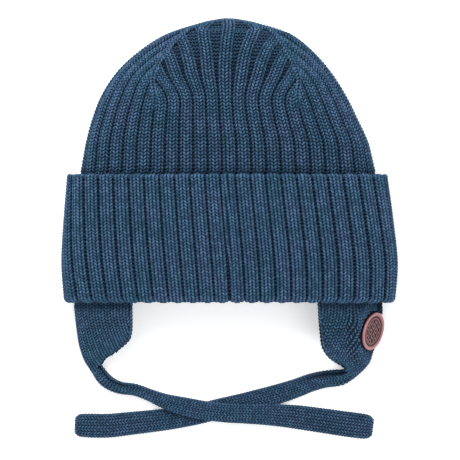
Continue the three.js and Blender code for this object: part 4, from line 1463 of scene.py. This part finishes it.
@dataclass
class EarFlap:
    """An ear flap, sewn inside the mouth and bent round the hat's side."""

    cuff: Cuff
    side: Side
    rows: Table
    patch: Patch | None = None
    width: float = 40.0
    length: float = 45.0
    reach_inside: float = 14.5
    gap: float = 0.5
    bulge: float = 1.0
    columns: int = 121
    stitch_row: float = 2.0
    # How dark the painted contact shadow on the flap just below the cuff's fold is.
    painted_contact_shadow: float = 0.9

    @property
    def name(self) -> str:
        """The name of the flap's node."""
        return "ear_flap_left" if self.side is Side.LEFT else "ear_flap_right"

    def inset(self) -> float:
        """How far inside the cuff's outline the flap lies at the mouth."""
        return GAUGE.cuff_wall + GAUGE.fit_gap + GAUGE.crown_wall + self.gap

    def spot(self, inwards: float, down: float) -> tuple[float, float]:
        """A place given by how far in from the mouth's side and how far below the mouth it lies."""
        mouth = self.cuff.section(self.cuff.fold_level)
        side = mouth.half_width - self.inset() + self.bulge - inwards * self.width
        return mouth.shift + self.side.value * side, self.cuff.mouth - down * self.length

    def mouth_row(self, y: float) -> SheetRow:
        """The flap's section against the inside of the mouth."""
        mouth = self.cuff.section(self.cuff.fold_level)
        half = mouth.half_width - self.inset()
        rise = mouth.crest - mouth.back - 2 * self.inset()
        start = (mouth.shift + self.side.value * half, y)
        width = self.rows.column("edge")[0] * self.width
        inwards, base = (-self.side.value, 0.0), mouth.back + self.inset()
        return SheetRow(start, inwards, width, base, rise, 0.0, half, CREST_POWER)

    def hanging_row(self, row: tuple) -> SheetRow:
        """The flap's section at one row of its table."""
        read = dict(zip(self.rows.columns, row))
        outer = np.array(self.spot(read["outer"], read["outer_down"]))
        edge = np.array(self.spot(read["edge"], read["edge_down"]))
        length = float(np.linalg.norm(edge - outer))
        base, rise, lean = (read[name] * self.cuff.depth for name in ("base", "rise", "lean"))
        reach = max(read["reach"] * self.width, length)
        inwards = tuple((edge - outer) / length)
        return SheetRow(tuple(outer), inwards, length, base, rise, lean, reach, DOME_POWER)

    def surface(self) -> tuple[Surface, np.ndarray, np.ndarray]:
        """The flap's outer face, with each grid row's length and the place of its fold."""
        levels = (self.cuff.mouth + self.reach_inside, self.cuff.fold_level)
        sections = [self.mouth_row(y) for y in levels] + [self.hanging_row(row) for row in self.rows.rows]
        spreads = [section.spread(self.columns) for section in sections]
        grids = np.stack([points for points, _, _ in spreads])
        middle = grids[:, self.columns // 2]
        keys = arc_lengths(middle)
        fine = np.linspace(0, keys[-1], 70)
        points = smooth_rows(keys, grids, fine)
        lengths = np.array([arc_lengths(row)[-1] for row in points])
        folds = np.interp(fine, keys, [fold / length for _, length, fold in spreads]) * lengths
        moved = points if self.patch is None else self.seated(points)
        moved[..., 2] = np.maximum(moved[..., 2], 0.0)
        return Surface(points, False, -self.side.value, moved), lengths, folds

    def seated(self, points: np.ndarray) -> np.ndarray:
        """Lays the flap flat against the patch's back."""
        normal, centre = self.patch.normal(), np.array(self.patch.centre)
        apart = points - centre
        ahead = apart @ normal + GAUGE.fit_gap
        aside = np.linalg.norm(apart - (ahead - GAUGE.fit_gap)[..., None] * normal, axis=-1)
        near, far = self.patch.diameter / 2 + GAUGE.flap_wall, self.patch.diameter
        behind = 1 - smooth_step(-ahead, GAUGE.flap_wall, 3 * GAUGE.flap_wall)
        hold = behind * (1 - smooth_step(aside, near, far))
        facing = smooth_step(Surface(points, False, -self.side.value).normal @ normal, 0.05, 0.45)
        move = -ahead * np.where((ahead > 0) & (aside < (near + far) / 2), 1.0, hold) * facing
        return points + move[..., None] * normal

    def clear_of_patch(self, points: np.ndarray) -> np.ndarray:
        """Which points the patch doesn't cover."""
        if self.patch is None:
            return np.ones(len(points), bool)
        apart = points - np.array(self.patch.centre)
        ahead = apart @ self.patch.normal()
        aside = np.linalg.norm(apart - ahead[:, None] * self.patch.normal(), axis=-1)
        return (ahead < -GAUGE.leg_width) | (aside > self.patch.diameter / 2 + GAUGE.leg_width / 2)

    def build(self, tree: StitchTree, yarn: bpy.types.Material) -> None:
        """Makes the flap's sheet and its stitches."""
        surface, lengths, folds = self.surface()
        rows = np.linspace(0, surface.row_count - 1, 44)
        columns = np.linspace(0, surface.column_count - 1, 72)
        wide = np.broadcast_to(rows[:, None], (len(rows), len(columns)))
        outer = surface.at(wide, columns[None, :], 0.75)
        inner = surface.at(wide, columns[None, :], GAUGE.flap_wall - 0.75)
        edge_in = 0.5 * (outer + inner)
        rings = np.concatenate([outer, edge_in[:, -1:], inner[:, ::-1], edge_in[:, :1]], axis=1)
        rings[..., 2] = np.maximum(rings[..., 2], 0.2)
        count = rings.shape[1]
        faces = grid_faces(len(rings), count, False, True)
        points = np.concatenate([rings.reshape(-1, 3), rings[:1].mean(axis=1), rings[-1:].mean(axis=1)])
        total = len(rings) * count
        faces = faces.tolist() + [((c + 1) % count, c, total) for c in range(count)]
        faces += [(total - count + c, total - count + (c + 1) % count, total + 1) for c in range(count)]
        if self.side is Side.RIGHT:
            faces = [tuple(reversed(face)) for face in faces]
        # The sheet under the stitches gets a dark painted shade.
        piece = new_piece(self.name + "_sheet", points, faces, -2.2)
        finish_piece(piece, self.name, yarn)
        legs = self.stitches(surface, lengths, folds)
        piece = tree.knit(self.name + "_stitches", legs.joined(), yarn, 11)
        finish_piece(piece, self.name, yarn)

    def stitches(self, surface: Surface, lengths: np.ndarray, folds: np.ndarray) -> Legs:
        """Lays the flap's stitches in wales that run along its fold, and a chain along each free edge."""
        legs = Legs()
        fine = np.linspace(2, surface.row_count - 1, 300)
        spread = np.arange(len(lengths))
        middle = surface.column_count - 1
        fold_path = surface.at(fine, np.interp(fine, spread, folds / lengths) * middle)
        reached = arc_lengths(fold_path)
        count = int(reached[-1] / self.stitch_row)
        rows = np.interp((np.arange(count) + 0.5) / count * reached[-1], reached, fine)
        length, fold = np.interp(rows, spread, lengths), np.interp(rows, spread, folds)
        for k in range(-40, 41):
            place = fold + (k + 0.5) * GAUGE.leg_spacing
            kept = (place > 1.2) & (place < length - 1.2)
            opens = 1.0 if k % 2 == 0 else -1.0
            columns = place / length * middle
            for depth, turned in ((0.6, 1.0), (GAUGE.flap_wall - 0.6, -1.0)):
                centre = surface.at(rows, columns, depth)
                hidden = (turned > 0) & (centre[:, 1] > self.cuff.fold_level)
                shown = kept & self.clear_of_patch(centre) & ~hidden
                # Painted contact shadow on the flap's stitches just below the cuff's fold.
                under = smooth_step(centre[:, 1], self.cuff.mouth - 4.5, self.cuff.mouth - 1.0)
                shade = -self.painted_contact_shadow * under
                legs.add(
                    surface,
                    rows[shown],
                    columns[shown],
                    depth,
                    opens * turned,
                    size=FLAP_LEG,
                    tone=shade[shown],
                    lift=GAUGE.leg_lift * turned,
                )
        for edge in (0.0, 1.0):
            path = surface.at(fine, np.full(fine.shape, edge * middle))
            reached = arc_lengths(path)
            count = int(reached[-1] / 2.4)
            rows = np.interp((np.arange(count) + 0.5) / count * reached[-1], reached, fine)
            inwards = 1.0 - 2.0 * edge
            columns = edge * middle + inwards * 0.35 / np.interp(rows, spread, lengths) * middle
            # The edge chain gets a slight painted highlight.
            legs.add(surface, rows, columns, 0.9, 1.0, inwards * -0.7, EDGE_LEG, 0.3, tone=0.1)
        return legs


def smooth_step(value: np.ndarray, low: float, high: float) -> np.ndarray:
    """A smooth rise from 0 at a low value to 1 at a high one."""
    t = np.clip((value - low) / (high - low), 0, 1)
    return t * t * (3 - 2 * t)


def eased(values: np.ndarray, reach: int) -> np.ndarray:
    """Values with their corners rounded over a reach of places to each side."""
    wide = np.concatenate([np.full(reach, values[0]), values, np.full(reach, values[-1])])
    return np.convolve(wide, np.full(2 * reach + 1, 1 / (2 * reach + 1)), mode="valid")


def smooth_rows(keys: np.ndarray, grids: np.ndarray, at: np.ndarray) -> np.ndarray:
    """Rows of points read smoothly between given rows.

    Args:
        keys: Where each given row lies.
        grids: The given rows of points.
        at: Where to read.

    Returns:
        The rows there.
    """
    slopes = np.empty_like(grids)
    run = (keys[2:] - keys[:-2])[:, None, None]
    slopes[1:-1] = (grids[2:] - grids[:-2]) / run
    slopes[0] = (grids[1] - grids[0]) / (keys[1] - keys[0])
    slopes[-1] = (grids[-1] - grids[-2]) / (keys[-1] - keys[-2])
    i = np.clip(np.searchsorted(keys, at, side="right") - 1, 0, len(keys) - 2)
    step = (keys[i + 1] - keys[i])[:, None, None]
    t = ((at - keys[i])[:, None, None]) / step
    t2, t3 = t * t, t * t * t
    value = (2 * t3 - 3 * t2 + 1) * grids[i] + (3 * t2 - 2 * t3) * grids[i + 1]
    return value + ((t3 - 2 * t2 + t) * slopes[i] + (t3 - t2) * slopes[i + 1]) * step


TIE_COLUMNS = ("along", "down", "width", "thickness", "over", "crease")
LEFT_TIE = Table(
    TIE_COLUMNS,
    (
        (0, 0, 0.53, 1.9, 0, 1),
        (0.023, 0.152, 0.56, 1.8, 0, 1),
        (0.05, 0.253, 0.54, 1.7, 0, 1),
        (0.086, 0.322, 0.5, 1.7, 0, 0.8),
        (0.138, 0.354, 0.49, 1.7, 0, 0.5),
        (0.191, 0.444, 0.5, 1.5, 0.35, 0.3),
        (0.245, 0.545, 0.6, 1.25, 1, 0),
        (0.317, 0.636, 0.72, 1.05, 1, 0),
        (0.388, 0.705, 0.75, 1, 1, 0),
        (0.46, 0.747, 0.75, 1, 1, 0),
        (0.549, 0.766, 0.78, 1, 1, 0),
        (0.621, 0.777, 0.85, 1, 1, 0),
        (0.68, 0.8, 0.9, 1, 0.45, 0),
        (0.728, 0.824, 0.95, 1, 0, 0),
        (0.818, 0.883, 0.98, 1, 0, 0),
        (0.907, 0.944, 1.0, 1, 0, 0),
        (0.97, 0.982, 0.98, 0.98, 0, 0),
        (0.99, 0.994, 0.86, 0.95, 0, 0),
        (1, 1, 0.6, 0.85, 0, 0),
    ),
)
RIGHT_TIE = Table(
    TIE_COLUMNS,
    (
        (0, 0, 0.56, 1.9, 0, 1),
        (0.029, 0.062, 0.66, 1.7, 0, 1),
        (0.084, 0.095, 0.69, 1.5, 0, 0.7),
        (0.138, 0.168, 0.72, 1.2, 0, 0.3),
        (0.192, 0.278, 0.75, 1.05, 0, 0),
        (0.247, 0.373, 0.78, 1, 0, 0),
        (0.312, 0.471, 0.8, 1, 0, 0),
        (0.391, 0.578, 0.8, 1, 0, 0),
        (0.464, 0.667, 0.8, 1, 0, 0),
        (0.554, 0.786, 0.82, 1, 0, 0),
        (0.645, 0.872, 0.85, 1, 0, 0),
        (0.717, 0.92, 0.88, 1, 0, 0),
        (0.797, 0.966, 0.92, 1, 0, 0),
        (0.88, 1.012, 0.95, 1, 0, 0),
        (0.968, 1.006, 0.93, 0.98, 0, 0),
        (0.99, 1.002, 0.82, 0.95, 0, 0),
        (1, 1, 0.58, 0.85, 0, 0),
    ),
)


@dataclass
class Tie:
    """A flat knitted tie that carries on from a flap's tip."""

    flap: EarFlap
    rows: Table
    span: float
    drop: float
    width: float = 16.6
    thickness: float = 3.7
    crease_at: float = -0.25
    columns: int = 96
    legs_round: int = 18
    stitch_row: float = 2.0
    # How dark the painted shadow on the part of the tie folded under at its crease is.
    painted_fold_shadow: float = 0.0

    @property
    def name(self) -> str:
        """The name of the tie's node."""
        return "tie_left" if self.flap.side is Side.LEFT else "tie_right"

    def steps(self) -> np.ndarray:
        """The shares of the tie's span where its rows lie, closer together at its free end."""
        return np.unique(np.concatenate([np.linspace(0, 0.97, 150), np.linspace(0.97, 1, 10)]))

    def surface(self) -> Surface:
        """The tie's face, all round it, from the flap's tip to its free end."""
        side = self.flap.side.value
        tip = dict(zip(self.flap.rows.columns, self.flap.rows.rows[-1]))
        outer = np.array(self.flap.spot(tip["outer"], tip["outer_down"]))
        edge = np.array(self.flap.spot(tip["edge"], tip["edge_down"]))
        across = (edge - outer) / np.linalg.norm(edge - outer)
        tip_way = -np.array([side * across[1], -side * across[0]])
        start = (outer + edge) / 2 + tip_way * GAUGE.fit_gap * 0.3
        at = self.steps()
        read = {name: self.rows.along("along", name, at) for name in TIE_COLUMNS[1:]}
        path = start + np.stack([-side * at * self.span, -read["down"] * self.drop], axis=-1)
        heading = unit(np.gradient(path, axis=0))
        first = np.clip(1 - arc_lengths(path) / 6.0, 0, 1)[:, None]
        heading = unit(heading * (1 - first) + tip_way * first)
        right = np.stack([heading[:, 1], -heading[:, 0]], axis=-1)
        angle = np.arange(self.columns) / self.columns * 2 * math.pi
        sideways = signed_power(np.sin(angle), 2 / CREST_POWER)
        tall = signed_power(np.cos(angle), 2 / CREST_POWER)
        half = read["width"] * self.width / 2
        thick = read["thickness"] * self.thickness
        base = np.clip(read["over"], 0, 1) * (self.thickness + GAUGE.fit_gap)
        flat = path[:, None, :] + right[:, None, :] * (half[:, None] * sideways)[..., None]
        crease = np.exp(-(((angle - self.crease_at + math.pi) % (2 * math.pi) - math.pi) / 0.22) ** 2)
        z = base[:, None] + thick[:, None] * (1 + tall) / 2
        z = z - 2.3 * np.clip(read["crease"], 0, 1)[:, None] * crease
        points = np.concatenate([flat, z[..., None]], axis=-1)
        return Surface(even_columns(points), True)

    def build(self, tree: StitchTree, yarn: bpy.types.Material) -> None:
        """Makes the tie's body and its stitches."""
        surface = self.surface()
        rows = np.linspace(0, surface.row_count - 1, 110)
        columns = np.linspace(0, self.columns, 36, endpoint=False)
        wide = np.broadcast_to(rows[:, None], (len(rows), len(columns)))
        rings = surface.at(wide, columns[None, :], 0.7)
        rings[..., 2] = np.maximum(rings[..., 2], 0.2)
        count = len(columns)
        faces = grid_faces(len(rings), count, False, True).tolist()
        total = len(rings) * count
        points = np.concatenate([rings.reshape(-1, 3), rings[:1].mean(axis=1), rings[-1:].mean(axis=1)])
        faces += [((c + 1) % count, c, total) for c in range(count)]
        faces += [(total - count + c, total - count + (c + 1) % count, total + 1) for c in range(count)]
        # The body under the stitches gets a dark painted shade.
        piece = new_piece(self.name + "_body", points, faces, -2.2)
        finish_piece(piece, self.name, yarn)
        legs = self.stitches(surface)
        piece = tree.knit(self.name + "_stitches", legs.joined(), yarn, 13, 4)
        finish_piece(piece, self.name, yarn)

    def stitches(self, surface: Surface) -> Legs:
        """Lays the tie's stitches all round it."""
        legs = Legs()
        fine = np.linspace(0, surface.row_count - 1, 600)
        reached = arc_lengths(surface.at(fine, np.zeros(fine.shape)))
        count = int(reached[-1] / self.stitch_row)
        rows = np.interp((np.arange(count) + 0.5) / count * reached[-1], reached, fine)
        read = surface.points[np.round(rows).astype(int)]
        lowest = read[..., 2].min(axis=1)
        steps = self.steps()
        crease = self.rows.along("along", "crease", np.interp(rows, np.arange(len(steps)), steps))
        for k in range(self.legs_round):
            share = (k + 0.5) / self.legs_round
            opens = 1.0 if k % 2 == 0 else -1.0
            painted_fold_shadow = self.painted_fold_shadow if 0.05 < share < 0.3 else 0.0
            for rest in np.unique(np.round(lowest, 1)):
                kept = np.round(lowest, 1) == rest
                place = np.full(int(kept.sum()), share * self.columns)
                # Painted shadow on the part of the tie folded under at its crease.
                tone = -painted_fold_shadow * np.clip(crease[kept], 0, 1)
                legs.add(surface, rows[kept], place, 0.62, opens, size=TIE_LEG, rest=float(rest), tone=tone)
        return legs


def even_columns(points: np.ndarray) -> np.ndarray:
    """Closed rows of points spread at even distances round each row, from its own first point."""
    count = points.shape[1]
    rows = []
    for row in points:
        closed = np.concatenate([row, row[:1]])
        reached = arc_lengths(closed)
        wanted = np.arange(count) / count * reached[-1]
        rows.append(np.stack([np.interp(wanted, reached, closed[:, i]) for i in range(3)], axis=-1))
    return np.stack(rows)


@dataclass
class Studio:
    """The floor, the lights and the camera straight above."""

    middle: tuple = (0.96, 5.44)
    view_width: float = 294.4
    view_level: float = 18.0
    distance: float = 3.2

    def build(self) -> None:
        """Sets up the studio."""
        self._floor()
        self._world()
        self._light("key_light", (-0.5, 1.1, 1.3), 1.0, 30.0)
        self._light("fill_light", (0.9, -0.7, 1.3), 1.4, 9.0)
        self._camera()

    def _floor(self) -> None:
        """Lays the floor."""
        reach = 12000.0
        signs = ((-1, -1), (1, -1), (1, 1), (-1, 1))
        corners = np.array([(across * reach, along * reach, 0) for across, along in signs], float)
        floor = new_piece("studio_floor", corners - [0, 0, 0.05], [(0, 1, 2, 3)])
        floor.data.materials.append(FloorFinish().make())

    def _world(self) -> None:
        """Sets the soft light from all round."""
        world = bpy.data.worlds.new("studio_sky")
        world.use_nodes = True
        back = world.node_tree.nodes["Background"]
        back.inputs["Color"].default_value = (0.96, 0.98, 1.0, 1.0)
        back.inputs["Strength"].default_value = 0.75
        bpy.context.scene.world = world
        bpy.context.scene.view_settings.view_transform = "Standard"

    def _light(self, name: str, place: tuple, size: float, power: float) -> None:
        """Hangs a square lamp that looks at the hat."""
        lamp = bpy.data.lights.new(name, "AREA")
        lamp.shape, lamp.size, lamp.energy = "SQUARE", size, power
        holder = bpy.data.objects.new(name, lamp)
        bpy.context.scene.collection.objects.link(holder)
        holder.location = place
        holder.rotation_euler = (-Vector(place)).to_track_quat("-Z", "Y").to_euler()
        holder.visible_camera = False

    def _camera(self) -> None:
        """Hangs the camera straight above the hat."""
        camera = bpy.data.cameras.new("overhead_camera")
        camera.sensor_width = 36.0
        camera.lens = camera.sensor_width * self.distance / (self.view_width * MM)
        camera.clip_end = 50.0
        holder = bpy.data.objects.new("overhead_camera", camera)
        bpy.context.scene.collection.objects.link(holder)
        holder.location = (self.middle[0] * MM, self.middle[1] * MM, self.view_level * MM + self.distance)
        bpy.context.scene.camera = holder


def main() -> None:
    """Builds the hat piece by piece."""
    logging.basicConfig(level=logging.INFO, format="%(name)s: %(message)s")
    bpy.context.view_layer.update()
    Studio().build()
    tree = StitchTree()
    crown_yarn = YarnFinish("crown_knit").make()
    # The cuff gets the same yarn painted lighter, as painted light on the cuff.
    cuff_yarn_painted_light = YarnFinish("cuff_knit", lightness=1.17).make()
    flap_yarn = YarnFinish("flap_knit").make()
    tie_yarn = YarnFinish("tie_knit").make()
    cuff = Cuff()
    cuff.build(tree, cuff_yarn_painted_light)
    Crown(cuff).build(tree, crown_yarn)
    left = EarFlap(cuff, Side.LEFT, LEFT_FLAP)
    right = EarFlap(cuff, Side.RIGHT, RIGHT_FLAP)
    mouth = cuff.section(cuff.fold_level)
    side = mouth.shift + mouth.half_width - right.inset() - 6.7
    right.patch = Patch((side, cuff.mouth - 18.0, 11.8))
    left.build(tree, flap_yarn)
    right.build(tree, flap_yarn)
    Tie(left, LEFT_TIE, 177.4, 37.6).build(tree, tie_yarn)
    Tie(right, RIGHT_TIE, 175.6, 32.7, crease_at=0.3, painted_fold_shadow=1.7).build(tree, tie_yarn)
    right.patch.build(LeatherFinish().make())


if __name__ == "__main__":
    main()
